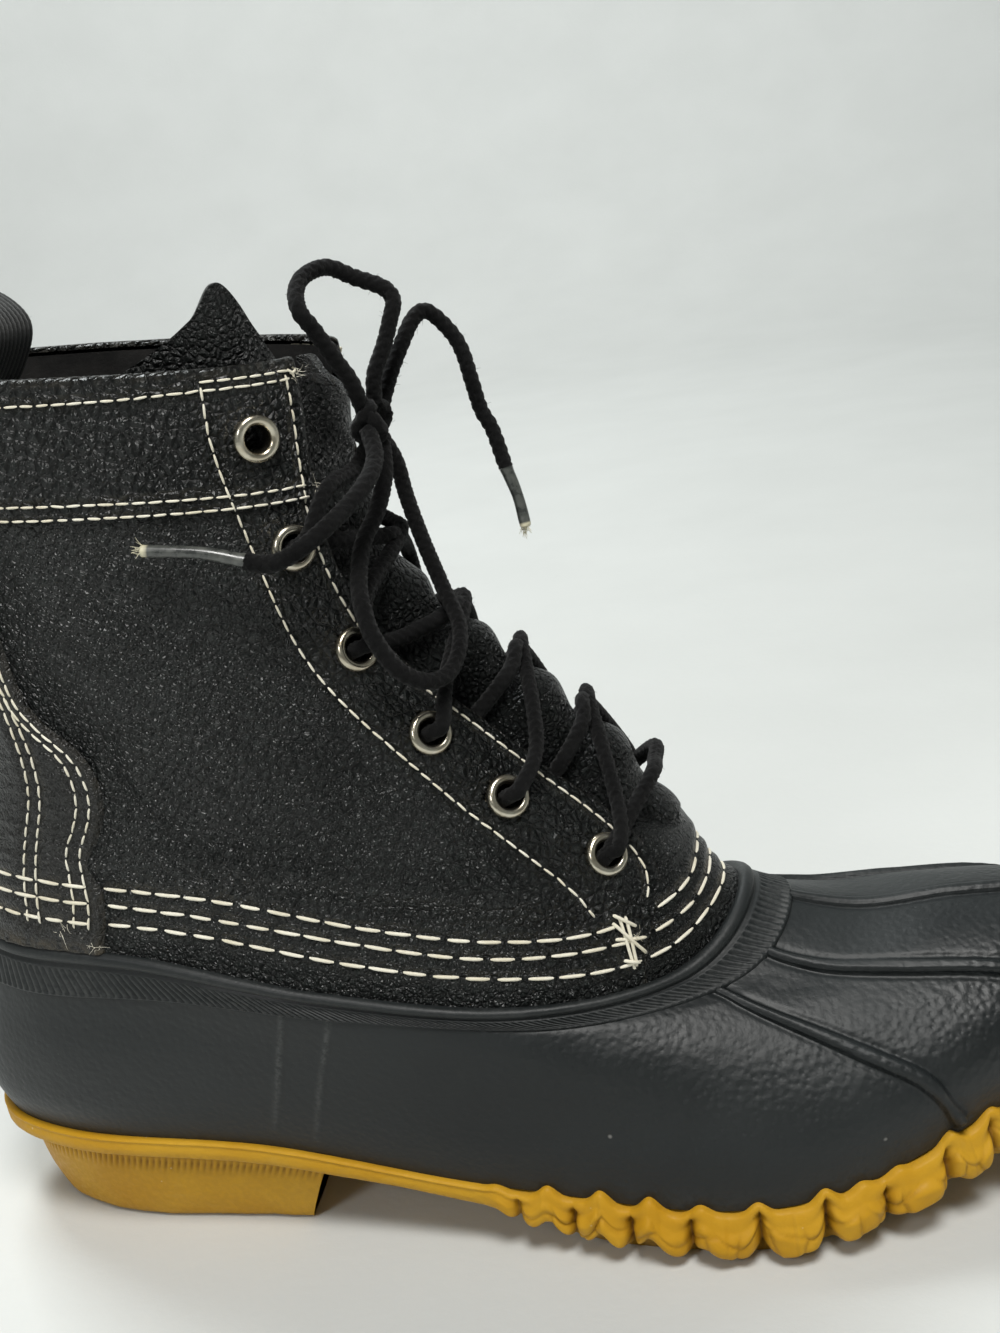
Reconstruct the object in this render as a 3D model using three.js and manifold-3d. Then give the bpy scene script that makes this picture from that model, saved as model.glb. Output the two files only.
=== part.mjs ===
// Duck boot, right foot: a moulded rubber foot on a gum sole, with a stitched leather shaft.
// Millimetres. +X towards the toe, -Y towards the outer side, +Z up. The origin lies in the
// middle of the heel's flat bottom.
import * as THREE from 'three';
import { mergeVertices } from 'three/addons/utils/BufferGeometryUtils.js';
import Module from 'manifold-3d';

const wasm = await Module();
wasm.setup();

// Overall sizes
const soleLength = 281;
const ballWidth = 100;
const toplineHeight = 80;
const collarHeight = 212;
const heelCentre = 45;

// Walls and running gaps
const clearance = 0.3;
const curvedGap = 0.8;
const overlayGap = 1.4;
const rubberWall = 3.3;
const flangeWall = 1.1;
const flangeHeight = 15;
const leatherWall = 1.8;
const tongueWall = 1.6;
const insoleWall = 3;
const overlayWall = 1.5;

// Bead and serrated strip under the topline
const beadHeight = 3.2;
const beadProud = 1.6;
const stripHeight = 10;
const stripProud = 0.5;

// Raised ribs of the rubber foot
const ribRadius = 1.5;

// Collar band of the shaft
const bandHeight = 33;
const bandProud = 1;

// Eyelets
const eyeletOuterRadius = 5.1;
const eyeletHoleRadius = 2.8;
const eyeletBarrelWall = 0.7;
const eyeletHoleClearance = 0.5;
const eyeletSeatGap = 0.8;
const eyeletDome = 1.1;
const eyeletWasher = 0.7;

// Lace
const laceDiameter = 4;
const laceGap = 0.8;
const agletDiameter = 3.6;
const knotWidth = 14;
const knotHeight = 11;
const knotDepth = 10;

// Pull loop
const webbingWidth = 25;
const webbingWall = 1.8;

// Sole
const seatHeight = 21;
const bandProudOfShell = 0.8;
const lumpPitch = 13;
const lumpBulge = 2.4;
const lumpRise = 1.8;
const bandFootInset = 3.5;
const bandFootLift = 0.6;
const heelBreastBottom = 85;
const heelBreastTop = 93;
const heelTopInset = 2.2;
const heelBottomInset = 5;
const heelRake = 4.5;
const heelRakeReach = 60;
const heelSink = 1.5;
const grooveWidth = 3.2;
const grooveDepth = 1.4;
const groovePitch = 11;
const grooveWave = 3;
const grooveLegs = 4;
const grooveReach = 0.4 * ballWidth;
const grooveStart = 0.56 * soleLength;
const grooveEnd = 0.9 * soleLength;
const cutterHeight = 8;
const insoleGap = 1.2;
const insoleLift = 0.1;

// Samples around the boot
const aroundShell = 44;
const acrossUpper = 32;
const eyeletSides = 7;
const laceSides = 8;
const crossingSides = 6;

// Sections that the shaft and the overlay on it share
const SHAFT_ROWS = [6.6, 7.2, 7.8, 8.4, 9, 9.5];

// Where the columns of a section lie, from the back of the boot (0) to its front (1)
const STATIONS = [0, 0.2, 0.35, 0.5, 0.65, 0.8, 1];

// Sections of the boot, one closed ring each, from the feather line up. back and front are
// shares of the sole's length, the rounds and the half widths are shares of the ball's width,
// and swing shifts the front sideways by a share of it. Half widths: heel, seat, waist, ball, toe.
const PLAN = [
  { name: 'feather', back: 0, front: 1, heelRound: 0.29, toeRound: 0.32, swing: 0.06,
    outer: [0.295, 0.35, 0.44, 0.525, 0.34], inner: [0.295, 0.33, 0.36, 0.46, 0.34] },
  { name: 'lower wall', back: -0.011, front: 1.014, heelRound: 0.31, toeRound: 0.34, swing: 0.06,
    outer: [0.315, 0.375, 0.46, 0.525, 0.355], inner: [0.315, 0.355, 0.395, 0.48, 0.355] },
  { name: 'belly', back: -0.011, front: 1.0, heelRound: 0.32, toeRound: 0.35, swing: 0.06,
    outer: [0.32, 0.39, 0.465, 0.5, 0.34], inner: [0.32, 0.37, 0.415, 0.475, 0.34] },
  { name: 'toe cap', back: -0.004, front: 0.957, heelRound: 0.32, toeRound: 0.35, swing: 0.05,
    outer: [0.32, 0.395, 0.465, 0.47, 0.305], inner: [0.32, 0.375, 0.425, 0.455, 0.305] },
  { name: 'toe crown', back: 0.004, front: 0.883, heelRound: 0.31, toeRound: 0.35, swing: 0.03,
    outer: [0.31, 0.39, 0.46, 0.445, 0.28], inner: [0.31, 0.375, 0.43, 0.435, 0.28] },
  { name: 'vamp', back: 0.011, front: 0.794, heelRound: 0.3, toeRound: 0.34, swing: 0.015,
    outer: [0.3, 0.385, 0.45, 0.43, 0.285], inner: [0.3, 0.375, 0.425, 0.42, 0.285] },
  { name: 'topline', back: 0.021, front: 0.706, heelRound: 0.28, toeRound: 0.3, swing: 0,
    outer: [0.29, 0.38, 0.43, 0.42, 0.29], inner: [0.29, 0.375, 0.42, 0.41, 0.29] },
  { name: 'instep', back: 0.043, front: 0.658, heelRound: 0.27, toeRound: 0.32, swing: 0,
    outer: [0.27, 0.355, 0.405, 0.38, 0.27], inner: [0.27, 0.355, 0.4, 0.375, 0.27] },
  { name: 'ankle', back: 0.068, front: 0.562, heelRound: 0.25, toeRound: 0.34, swing: 0,
    outer: [0.26, 0.34, 0.375, 0.35, 0.26], inner: [0.26, 0.34, 0.375, 0.35, 0.26] },
  { name: 'bend', back: 0.085, front: 0.466, heelRound: 0.25, toeRound: 0.36, swing: 0,
    outer: [0.26, 0.34, 0.37, 0.345, 0.265], inner: [0.26, 0.34, 0.37, 0.345, 0.265] },
  { name: 'shaft', back: 0.082, front: 0.434, heelRound: 0.26, toeRound: 0.38, swing: 0,
    outer: [0.26, 0.35, 0.38, 0.355, 0.27], inner: [0.26, 0.35, 0.38, 0.355, 0.27] },
  { name: 'collar', back: 0.064, front: 0.434, heelRound: 0.27, toeRound: 0.36, swing: 0,
    outer: [0.27, 0.36, 0.385, 0.365, 0.27], inner: [0.27, 0.36, 0.385, 0.365, 0.27] },
  { name: 'above', back: 0.05, front: 0.43, heelRound: 0.27, toeRound: 0.36, swing: 0,
    outer: [0.27, 0.36, 0.385, 0.365, 0.27], inner: [0.27, 0.36, 0.385, 0.365, 0.27] },
];

// Heights of the same sections at the seven stations. Up to the topline they are shares of its
// height, and above it shares of the shaft's rise over it.
const FOOT_RISE = [
  [0.35, 0.348, 0.31, 0.194, 0.169, 0.3, 0.363],
  [0.463, 0.456, 0.419, 0.325, 0.331, 0.456, 0.525],
  [0.575, 0.569, 0.525, 0.438, 0.438, 0.563, 0.663],
  [0.681, 0.675, 0.638, 0.55, 0.519, 0.625, 0.744],
  [0.788, 0.781, 0.75, 0.663, 0.6, 0.656, 0.765],
  [0.894, 0.894, 0.863, 0.769, 0.681, 0.681, 0.756],
  [1, 1.019, 0.988, 0.869, 0.775, 0.754, 0.875],
];
const SHAFT_RISE = [
  [0.174, 0.182, 0.159, 0.11, 0.061, 0.034, 0.061],
  [0.356, 0.356, 0.341, 0.303, 0.265, 0.242, 0.25],
  [0.545, 0.545, 0.538, 0.523, 0.508, 0.496, 0.492],
  [0.773, 0.773, 0.765, 0.758, 0.75, 0.746, 0.742],
  [1.015, 1.011, 1, 0.985, 0.97, 0.958, 0.955],
  [1.22, 1.215, 1.205, 1.19, 1.175, 1.163, 1.16],
];

const toplineRow = 6;
const collarRow = 11;
const lastRow = PLAN.length - 1;

// Underside of the sole along its length: along is a share of the sole's length, under the
// height of the underside and side the depth of the side band, shares of the heel seat's height.
const SOLE = [
  { along: 0, under: 1, side: 0.28, lumps: 0 },
  { along: 0.12, under: 0.99, side: 0.28, lumps: 0 },
  { along: 0.33, under: 0.81, side: 0.27, lumps: 0 },
  { along: 0.4, under: 0.69, side: 0.27, lumps: 0 },
  { along: 0.475, under: 0.5, side: 0.29, lumps: 0 },
  { along: 0.5, under: 0.33, side: 0.38, lumps: 0.7 },
  { along: 0.55, under: 0.07, side: 0.5, lumps: 1 },
  { along: 0.58, under: 0, side: 0.52, lumps: 1 },
  { along: 0.7, under: 0, side: 0.56, lumps: 1 },
  { along: 0.75, under: 0.07, side: 0.6, lumps: 1 },
  { along: 0.8, under: 0.2, side: 0.62, lumps: 1 },
  { along: 0.86, under: 0.36, side: 0.6, lumps: 1 },
  { along: 0.92, under: 0.54, side: 0.56, lumps: 1 },
  { along: 1, under: 0.8, side: 0.5, lumps: 1 },
];

// Front edge of a quarter: the section it passes and how far forward it lies there
const QUARTER_EDGE = [
  { row: 6, at: 0.79 }, { row: 6.4, at: 0.825 }, { row: 6.8, at: 0.87 }, { row: 7.1, at: 0.89 },
  { row: 7.9, at: 0.899 }, { row: 8.4, at: 0.885 }, { row: 8.8, at: 0.862 }, { row: 9.4, at: 0.848 },
  { row: 10, at: 0.853 }, { row: 11, at: 0.857 }, { row: 12, at: 0.857 },
];

// Eyelets of one quarter from the collar down. crest is the section where the lace that leaves
// an eyelet crosses the middle of the tongue.
const EYELETS = [
  { row: 10.49, at: 0.771, crest: 10.49 }, { row: 9.68, at: 0.783, crest: 10.08 },
  { row: 8.95, at: 0.799, crest: 9.5 }, { row: 8.34, at: 0.791, crest: 8.84 },
  { row: 7.8, at: 0.801, crest: 8.42 }, { row: 7.17, at: 0.832, crest: 7.93 },
];
const lowestCrest = 7.35;

// Backstay: how far its edge reaches forward at each section
const BACKSTAY = [
  { row: 6, at: 0.325 }, { row: 6.95, at: 0.322 }, { row: 7.3, at: 0.338 }, { row: 7.75, at: 0.357 },
  { row: 8.2, at: 0.342 }, { row: 8.5, at: 0.302 }, { row: 9, at: 0.24 }, { row: 9.5, at: 0.15 },
  { row: 10, at: 0.11 },
];

// Tongue: for each place across it, the sections where it starts and ends. A negative place is
// on the outer side, where its wing stands above the collar.
const TONGUE = [
  { at: -0.58, from: 10.7, to: 11.0 }, { at: -0.65, from: 9.8, to: 11.19 },
  { at: -0.715, from: 8.8, to: 11.4 }, { at: -0.795, from: 7.5, to: 11.62 },
  { at: -0.83, from: 7.0, to: 11.32 }, { at: -0.87, from: 6.85, to: 11.0 },
  { at: -0.93, from: 6.75, to: 10.8 }, { at: 1, from: 6.75, to: 10.66 },
  { at: 0.93, from: 6.75, to: 10.74 }, { at: 0.87, from: 6.85, to: 10.86 },
  { at: 0.82, from: 7.0, to: 10.92 }, { at: 0.77, from: 7.7, to: 10.9 },
];
const tongueDepth = 4.6;
const tongueCrown = 5.2;
const tongueCrownReach = 0.12;

// Between these sections the crown swells most, over the instep
const swellFrom = 6.9;
const swellTo = 9.5;
const tongueSwell = 8;

// Below this section the crown is lower, under the stitches of the vamp piece
const tuckRow = 7;
const tongueTuck = 0.8;

// Past this place the wing leans away from the quarter
const wingEdge = 0.8;
const wingSlope = 11;

// Vamp ribs: five raised cords from the strip to the sole, by side and place across
const RIBS = [
  { name: 'outer side', side: -1, path: [[5.55, 0.806], [4.6, 0.752], [3.6, 0.724], [2.6, 0.718],
    [1.6, 0.729], [0.7, 0.745]] },
  { name: 'outer centre', side: -1, path: [[5.7, 0.895], [5.35, 0.877], [4.8, 0.859], [4.08, 0.846],
    [3.2, 0.848], [2.2, 0.862], [1.3, 0.875], [0.7, 0.885]] },
  { name: 'centre', side: -1, path: [[5.75, 0.995], [5.3, 0.995], [4.7, 0.995], [4.1, 0.995],
    [3.3, 0.995], [2.5, 0.995]] },
  { name: 'inner centre', side: 1, path: [[5.7, 0.895], [5.35, 0.877], [4.8, 0.859], [4.08, 0.846],
    [3.2, 0.848], [2.2, 0.862], [1.3, 0.875], [0.7, 0.885]] },
  { name: 'inner side', side: 1, path: [[5.55, 0.806], [4.4, 0.745], [3.0, 0.7], [1.7, 0.676],
    [0.7, 0.668]] },
];

// Smooth curve through the values of one column, flat at its ends when asked
function smooth(places, values, place, flatEnds) {
  const last = places.length - 1;
  const p = Math.min(Math.max(place, places[0]), places[last]);
  let i = 0;
  while (i < last - 1 && p > places[i + 1]) i += 1;
  const slope = (k) => (values[k + 1] - values[k]) / (places[k + 1] - places[k]);
  const tangent = (k) => {
    if (k === 0) return flatEnds ? 0 : slope(0);
    if (k === last) return flatEnds ? 0 : slope(last - 1);
    const before = places[k] - places[k - 1];
    const after = places[k + 1] - places[k];
    return (slope(k - 1) * after + slope(k) * before) / (before + after);
  };
  const h = places[i + 1] - places[i];
  const s = (p - places[i]) / h;
  const s2 = s * s;
  const s3 = s2 * s;
  return (2 * s3 - 3 * s2 + 1) * values[i] + (s3 - 2 * s2 + s) * h * tangent(i)
    + (3 * s2 - 2 * s3) * values[i + 1] + (s3 - s2) * h * tangent(i + 1);
}

// Straight lines through a table's columns
function lookUp(table, keyName, valueName, key) {
  const last = table.length - 1;
  if (key <= table[0][keyName]) return table[0][valueName];
  for (let i = 0; i < last; i += 1) {
    const a = table[i];
    const b = table[i + 1];
    if (key <= b[keyName]) {
      const share = (key - a[keyName]) / (b[keyName] - a[keyName]);
      return a[valueName] + (b[valueName] - a[valueName]) * share;
    }
  }
  return table[last][valueName];
}

// One row of lengths for each section: ends, swing, widths of each side and heights
function sectionLengths(plan, index) {
  const back = plan.back * soleLength;
  const front = plan.front * soleLength;
  const heel = Math.sqrt(plan.heelRound * ballWidth * (front - back) / 2);
  const toe = Math.sqrt(plan.toeRound * ballWidth * (front - back) / 2);
  const side = (shares) => [heel, ...shares.map((share, k) => (
    share * ballWidth / Math.sin(Math.PI * STATIONS[k + 1]))), toe];
  const heights = index <= toplineRow
    ? FOOT_RISE[index].map((share) => share * toplineHeight)
    : SHAFT_RISE[index - toplineRow - 1].map((share) => (
      toplineHeight + share * (collarHeight - toplineHeight)));
  return [back, front, plan.swing * ballWidth, ...side(plan.outer), ...side(plan.inner), ...heights];
}
const LENGTHS = PLAN.map(sectionLengths);
const ROWS = PLAN.map((plan, index) => index);
const count = STATIONS.length;
const rowCache = new Map();

// All lengths of the ring at a section number, which may lie between two sections
function ring(row) {
  const key = Math.round(row * 1e5);
  if (!rowCache.has(key)) {
    rowCache.set(key, LENGTHS[0].map((unused, k) => (
      smooth(ROWS, LENGTHS.map((lengths) => lengths[k]), row, false))));
  }
  return rowCache.get(key);
}

// Point of the boot's outer surface. at runs from the back (0) to the front (1), negative on
// the outer side, and row counts the sections.
function form(at, row) {
  const lengths = ring(row);
  const t = Math.min(Math.abs(at), 1);
  const outer = at < 0;
  const widths = lengths.slice(outer ? 3 : 3 + count, (outer ? 3 : 3 + count) + count);
  const heights = lengths.slice(3 + 2 * count);
  const ease = Math.min(Math.max((t - 0.35) / 0.65, 0), 1);
  const shift = lengths[2] * ease * ease * (3 - 2 * ease);
  const half = smooth(STATIONS, widths, t, true) * Math.sin(Math.PI * t);
  return new THREE.Vector3(
    lengths[0] + (lengths[1] - lengths[0]) * (1 - Math.cos(Math.PI * t)) / 2,
    shift + (outer ? -half : half),
    smooth(STATIONS, heights, t, true),
  );
}

// Place around the ring, 0 to 1 from the back over the outer side, as a signed place
function signed(around) {
  const u = ((around % 1) + 1) % 1;
  return u <= 0.5 ? -2 * u : 2 - 2 * u;
}
const turn = (at) => (at <= 0 ? -at / 2 : 1 - at / 2);

function outward(at, row) {
  const u = turn(at);
  const step = 0.001;
  const along = form(signed(u + step), row).sub(form(signed(u - step), row));
  const up = form(at, Math.min(row + 5 * step, lastRow)).sub(form(at, Math.max(row - 5 * step, 0)));
  return along.cross(up).normalize();
}

// Point that lies a distance outside the surface, or inside it when negative
function off(at, row, distance) {
  return form(at, row).addScaledVector(outward(at, row), distance);
}

// Section number reached from another by a walk over the surface, up or down
function walk(at, start, distance) {
  const step = 0.05 * Math.sign(distance);
  let left = Math.abs(distance);
  let row = start;
  let last = form(at, row);
  while (row + step >= 0 && row + step <= lastRow) {
    const next = form(at, row + step);
    const length = last.distanceTo(next);
    if (length >= left) return row + step * left / length;
    left -= length;
    row += step;
    last = next;
  }
  return row;
}

// Closed mesh from sections of equal point counts. A closed run joins its last section to its
// first, and an open one is capped by rungs between the points that face each other.
function loft(sections, closed, facing) {
  const size = sections[0].length;
  const positions = [];
  sections.forEach((section) => section.forEach((p) => positions.push(p.x, p.y, p.z)));
  const triangles = [];
  const add = (a, b, c) => {
    if (a !== b && b !== c && a !== c) triangles.push(a, b, c);
  };
  const runs = closed ? sections.length : sections.length - 1;
  for (let i = 0; i < runs; i += 1) {
    const next = ((i + 1) % sections.length) * size;
    for (let j = 0; j < size; j += 1) {
      const k = (j + 1) % size;
      add(i * size + j, i * size + k, next + k);
      add(i * size + j, next + k, next + j);
    }
  }
  if (!closed) {
    [0, (sections.length - 1) * size].forEach((base, end) => {
      for (let j = 0; j < Math.floor(size / 2); j += 1) {
        const a = base + j;
        const b = base + j + 1;
        const c = base + ((size - facing - j - 1) % size);
        const d = base + ((size - facing - j) % size);
        if (end === 0) {
          add(a, c, b);
          add(a, d, c);
        } else {
          add(a, b, c);
          add(a, c, d);
        }
      }
    });
  }
  const geometry = new THREE.BufferGeometry();
  geometry.setAttribute('position', new THREE.Float32BufferAttribute(positions, 3));
  geometry.setIndex(triangles);
  return outsideOut(geometry);
}

// Turns the faces round when the closed mesh is inside out
function outsideOut(geometry) {
  const p = geometry.getAttribute('position');
  const index = geometry.getIndex();
  const a = new THREE.Vector3();
  const b = new THREE.Vector3();
  const c = new THREE.Vector3();
  let volume = 0;
  for (let i = 0; i < index.count; i += 3) {
    a.fromBufferAttribute(p, index.getX(i));
    b.fromBufferAttribute(p, index.getX(i + 1));
    c.fromBufferAttribute(p, index.getX(i + 2));
    volume += a.dot(b.cross(c));
  }
  if (volume < 0) {
    const flipped = Array.from(index.array);
    for (let i = 0; i < flipped.length; i += 3) {
      [flipped[i], flipped[i + 1]] = [flipped[i + 1], flipped[i]];
    }
    geometry.setIndex(flipped);
  }
  return geometry;
}

function toSolid(geometry) {
  const bare = geometry.clone();
  bare.deleteAttribute('normal');
  bare.deleteAttribute('uv');
  const merged = mergeVertices(bare, 1e-4);
  return new wasm.Manifold(new wasm.Mesh({
    numProp: 3,
    vertProperties: new Float32Array(merged.getAttribute('position').array),
    triVerts: new Uint32Array(merged.getIndex().array),
  }));
}

function toGeometry(solid) {
  const mesh = solid.getMesh();
  const geometry = new THREE.BufferGeometry();
  geometry.setAttribute('position', new THREE.Float32BufferAttribute(mesh.vertProperties, 3));
  geometry.setIndex(Array.from(mesh.triVerts));
  return geometry;
}

function finish(color, roughness, metalness) {
  return new THREE.MeshStandardMaterial({ color, roughness, metalness });
}
const gum = finish(0xb9862a, 0.55, 0);
const rubber = finish(0x1c2020, 0.45, 0);
const leather = finish(0x141716, 0.5, 0);
const wornLeather = finish(0x26241f, 0.65, 0);
const nickel = finish(0xc9c4b4, 0.3, 1);
const lining = finish(0x1a1a1a, 0.9, 0);
const webbing = finish(0x141515, 0.85, 0);
const braid = finish(0x0c0c0d, 0.9, 0);
const sheath = finish(0x2a2b2b, 0.35, 0);

const boot = new THREE.Group();
boot.position.x = -heelCentre;

function place(name, geometry, material) {
  const mesh = new THREE.Mesh(geometry, material);
  mesh.name = name;
  boot.add(mesh);
}

// Round bar along points, for ribs and other raised cords
function bar(points, radius, sides, steps) {
  const section = new THREE.Shape();
  for (let i = 0; i < sides; i += 1) {
    const angle = (i + 0.5) / sides * 2 * Math.PI;
    const x = radius * Math.cos(angle);
    const y = radius * Math.sin(angle);
    if (i === 0) section.moveTo(x, y);
    else section.lineTo(x, y);
  }
  return new THREE.ExtrudeGeometry(section, {
    steps,
    extrudePath: new THREE.CatmullRomCurve3(points),
    bevelEnabled: false,
  });
}

// Rubber foot: outer wall, strip, bead, ledge for the leather, flange behind it, inner wall
const shellRows = 4;

function shellProfile(at) {
  const stripRow = walk(at, toplineRow, -stripHeight - beadHeight);
  const beadRow = walk(at, toplineRow, -beadHeight);
  const beadMiddle = walk(at, toplineRow, -beadHeight / 2);
  const flangeRow = walk(at, toplineRow, flangeHeight);
  const flangeFace = -leatherWall - curvedGap;
  const inside = flangeFace - flangeWall;
  const points = [];
  for (let k = 0; k <= shellRows; k += 1) points.push(off(at, stripRow * k / shellRows, 0));
  points.push(off(at, stripRow + 0.02, stripProud));
  points.push(off(at, beadRow, stripProud));
  points.push(off(at, beadMiddle, beadProud));
  points.push(off(at, toplineRow, stripProud));
  points.push(off(at, toplineRow, flangeFace));
  points.push(off(at, flangeRow, flangeFace));
  points.push(off(at, flangeRow, inside));
  points.push(off(at, toplineRow, inside));
  for (let k = shellRows; k >= 0; k -= 1) points.push(off(at, stripRow * k / shellRows, -rubberWall));
  return points;
}

function makeShell() {
  const sections = [];
  for (let i = 0; i < aroundShell; i += 1) sections.push(shellProfile(signed(i / aroundShell)));
  let solid = toSolid(loft(sections, true, 0));
  RIBS.forEach((rib) => {
    const points = rib.path.map(([row, at]) => off(rib.side * at, row, -ribRadius * 0.25));
    solid = solid.add(toSolid(bar(points, ribRadius, 4, 8)));
  });
  return toGeometry(solid);
}

// Place along the sole as the share of its length, and back
const placeOf = (along) => Math.acos(1 - 2 * Math.min(Math.max(along, 0), 1)) / Math.PI;
const shareAt = (at) => (1 - Math.cos(Math.PI * Math.abs(at))) / 2;

// Signed places around the sole: three to a lump over the forefoot, and wide steps behind it
function solePlaces() {
  const side = (sign) => {
    const places = [];
    const first = placeOf(0.49);
    const wide = 10;
    for (let i = 0; i < wide; i += 1) places.push(sign * first * i / wide);
    let length = 0;
    let last = form(sign * first, 0);
    const fine = [];
    for (let i = 1; i <= 400; i += 1) {
      const at = first + (1 - first) * i / 400;
      const next = form(sign * at, 0);
      length += last.distanceTo(next);
      last = next;
      fine.push({ at, length });
    }
    const lumps = Math.round(length / lumpPitch);
    const steps = lumps * 3;
    for (let i = 0; i <= steps; i += 1) {
      const goal = length * i / steps;
      const at = i === 0 ? first : lookUp(fine, 'length', 'at', goal);
      places.push(sign * at);
    }
    return places.map((at, index) => ({
      at,
      swell: index < wide ? 0 : Math.abs(Math.sin(Math.PI * (index - wide) / 3)),
    }));
  };
  const outer = side(-1);
  const inner = side(1);
  return [...outer, ...inner.slice(1, -1).reverse()];
}

// Point beside the feather line: inset is measured level, towards the middle of the sole
function beside(at, inset, height) {
  const p = form(at, 0);
  const n = outward(at, 0);
  n.z = 0;
  n.normalize();
  p.addScaledVector(n, -inset);
  p.z = height;
  return p;
}

const featherHeight = (at) => form(at, 0).z;
const underside = (share) => lookUp(SOLE, 'along', 'under', share) * seatHeight;

function solePlate() {
  const places = solePlaces();
  const rings = [[], [], [], [], []];
  places.forEach(({ at, swell }) => {
    const share = shareAt(at);
    const lumps = lookUp(SOLE, 'along', 'lumps', share);
    const side = lookUp(SOLE, 'along', 'side', share) * seatHeight;
    const top = featherHeight(at) - clearance;
    const under = underside(share);
    const bulge = lumps * swell * lumpBulge;
    rings[0].push(beside(at, -clearance, top));
    rings[1].push(beside(at, -bandProudOfShell - clearance - bulge * 0.4, top + lumps * swell * lumpRise));
    rings[2].push(beside(at, -bandProudOfShell - bulge, top - side * 0.45));
    rings[3].push(beside(at, -bulge * 0.6, Math.max(top - side, under + bandFootLift)));
    rings[4].push(beside(at, bandFootInset, under));
  });
  return loft(rings, false, 0);
}

// Heel block: leans in towards its bottom and lies further in at the back
function heelBlock() {
  const steps = 9;
  const outline = (breast, inset, height) => {
    const reach = placeOf(breast / soleLength);
    const points = [];
    for (let i = -steps; i <= steps; i += 1) {
      const at = reach * i / steps;
      points.push(beside(at, inset(at), height));
    }
    return points;
  };
  const rake = (at) => heelRake * (1 - Math.min(shareAt(at) * soleLength / heelRakeReach, 1)) ** 2;
  const bottom = outline(heelBreastBottom, (at) => heelBottomInset + rake(at), 0);
  const top = outline(heelBreastTop, (at) => heelTopInset + rake(at) / 2, seatHeight + heelSink);
  const middleSlope = heelBreastTop / soleLength;
  top.forEach((p) => {
    p.z = Math.min(p.z, underside(Math.min(Math.max(p.x / soleLength, 0), middleSlope)) + heelSink);
  });
  return loft([bottom, top], false, 1);
}

// Chevron grooves across the forefoot's underside
function groove(share) {
  const shape = new THREE.Shape();
  const corner = (i) => [
    share * soleLength + (i % 2 === 0 ? -grooveWave : grooveWave),
    -grooveReach + 2 * grooveReach * i / grooveLegs,
  ];
  for (let i = 0; i <= grooveLegs; i += 1) {
    const [x, y] = corner(i);
    if (i === 0) shape.moveTo(x, y);
    else shape.lineTo(x, y);
  }
  for (let i = grooveLegs; i >= 0; i -= 1) {
    const [x, y] = corner(i);
    shape.lineTo(x + grooveWidth, y);
  }
  const geometry = new THREE.ExtrudeGeometry(shape, { depth: cutterHeight, bevelEnabled: false });
  geometry.translate(0, 0, underside(share) + grooveDepth - cutterHeight);
  return geometry;
}

function makeOutsole() {
  let solid = toSolid(solePlate()).add(toSolid(heelBlock()));
  for (let x = grooveStart; x < grooveEnd; x += groovePitch) {
    solid = solid.subtract(toSolid(groove(x / soleLength)));
  }
  return toGeometry(solid);
}

// Insole: lies on the sole inside the rubber wall
function makeInsole() {
  const samples = 44;
  const inset = rubberWall + insoleGap;
  const rings = [[], []];
  for (let i = 0; i < samples; i += 1) {
    const at = signed(i / samples);
    const edge = beside(at, inset, 0);
    const height = featherHeight(placeOf(edge.x / soleLength));
    rings[0].push(edge.clone().setZ(height + insoleLift));
    rings[1].push(edge.clone().setZ(height + insoleLift + insoleWall));
  }
  return loft(rings, false, 0);
}

// Leather shaft: one wall round the back from one throat edge to the other
const edgeAt = (row) => lookUp(QUARTER_EDGE, 'row', 'at', row);

function upperProfile(share) {
  const sideOf = (row) => (2 * share - 1) * edgeAt(row);
  const base = sideOf(toplineRow);
  const lowRow = walk(base, toplineRow, curvedGap);
  const rows = [lowRow, ...SHAFT_ROWS];
  const bandRow = (at) => walk(at, collarRow, -bandHeight);
  const low = bandRow(sideOf(10));
  const outerWall = rows.map((row) => off(sideOf(row), row, 0));
  const innerWall = rows.map((row) => off(sideOf(row), row, -leatherWall));
  [[low - 0.02, 0], [low + 0.02, bandProud], [10.5, bandProud], [collarRow, bandProud]]
    .forEach(([row, proud]) => {
      outerWall.push(off(sideOf(row), row, proud));
      innerWall.push(off(sideOf(row), row, -leatherWall));
    });
  return [...outerWall, ...innerWall.reverse()];
}

// Places the geometry's Y axis along the outward direction at a point of the shaft
function standOn(geometry, at, row) {
  const turnTo = new THREE.Quaternion().setFromUnitVectors(new THREE.Vector3(0, 1, 0), outward(at, row));
  const p = form(at, row);
  geometry.applyQuaternion(turnTo);
  geometry.translate(p.x, p.y, p.z);
  return geometry;
}

function eyeletPlaces() {
  return EYELETS.flatMap((eyelet, index) => [-1, 1].map((side) => ({
    name: `eyelet_${side < 0 ? 'outer' : 'inner'}_${index + 1}`,
    at: side * eyelet.at,
    row: eyelet.row,
    face: eyelet.row > walk(side * eyelet.at, collarRow, -bandHeight) ? bandProud : 0,
  })));
}

function makeUpper() {
  const sections = [];
  for (let i = 0; i <= acrossUpper; i += 1) sections.push(upperProfile(i / acrossUpper));
  let solid = toSolid(loft(sections, false, 1));
  const holeRadius = eyeletHoleRadius + eyeletBarrelWall + eyeletHoleClearance;
  eyeletPlaces().forEach(({ at, row }) => {
    const hole = new THREE.CylinderGeometry(holeRadius, holeRadius, 16, eyeletSides);
    solid = solid.subtract(toSolid(standOn(hole, at, row)));
  });
  return toGeometry(solid);
}

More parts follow.
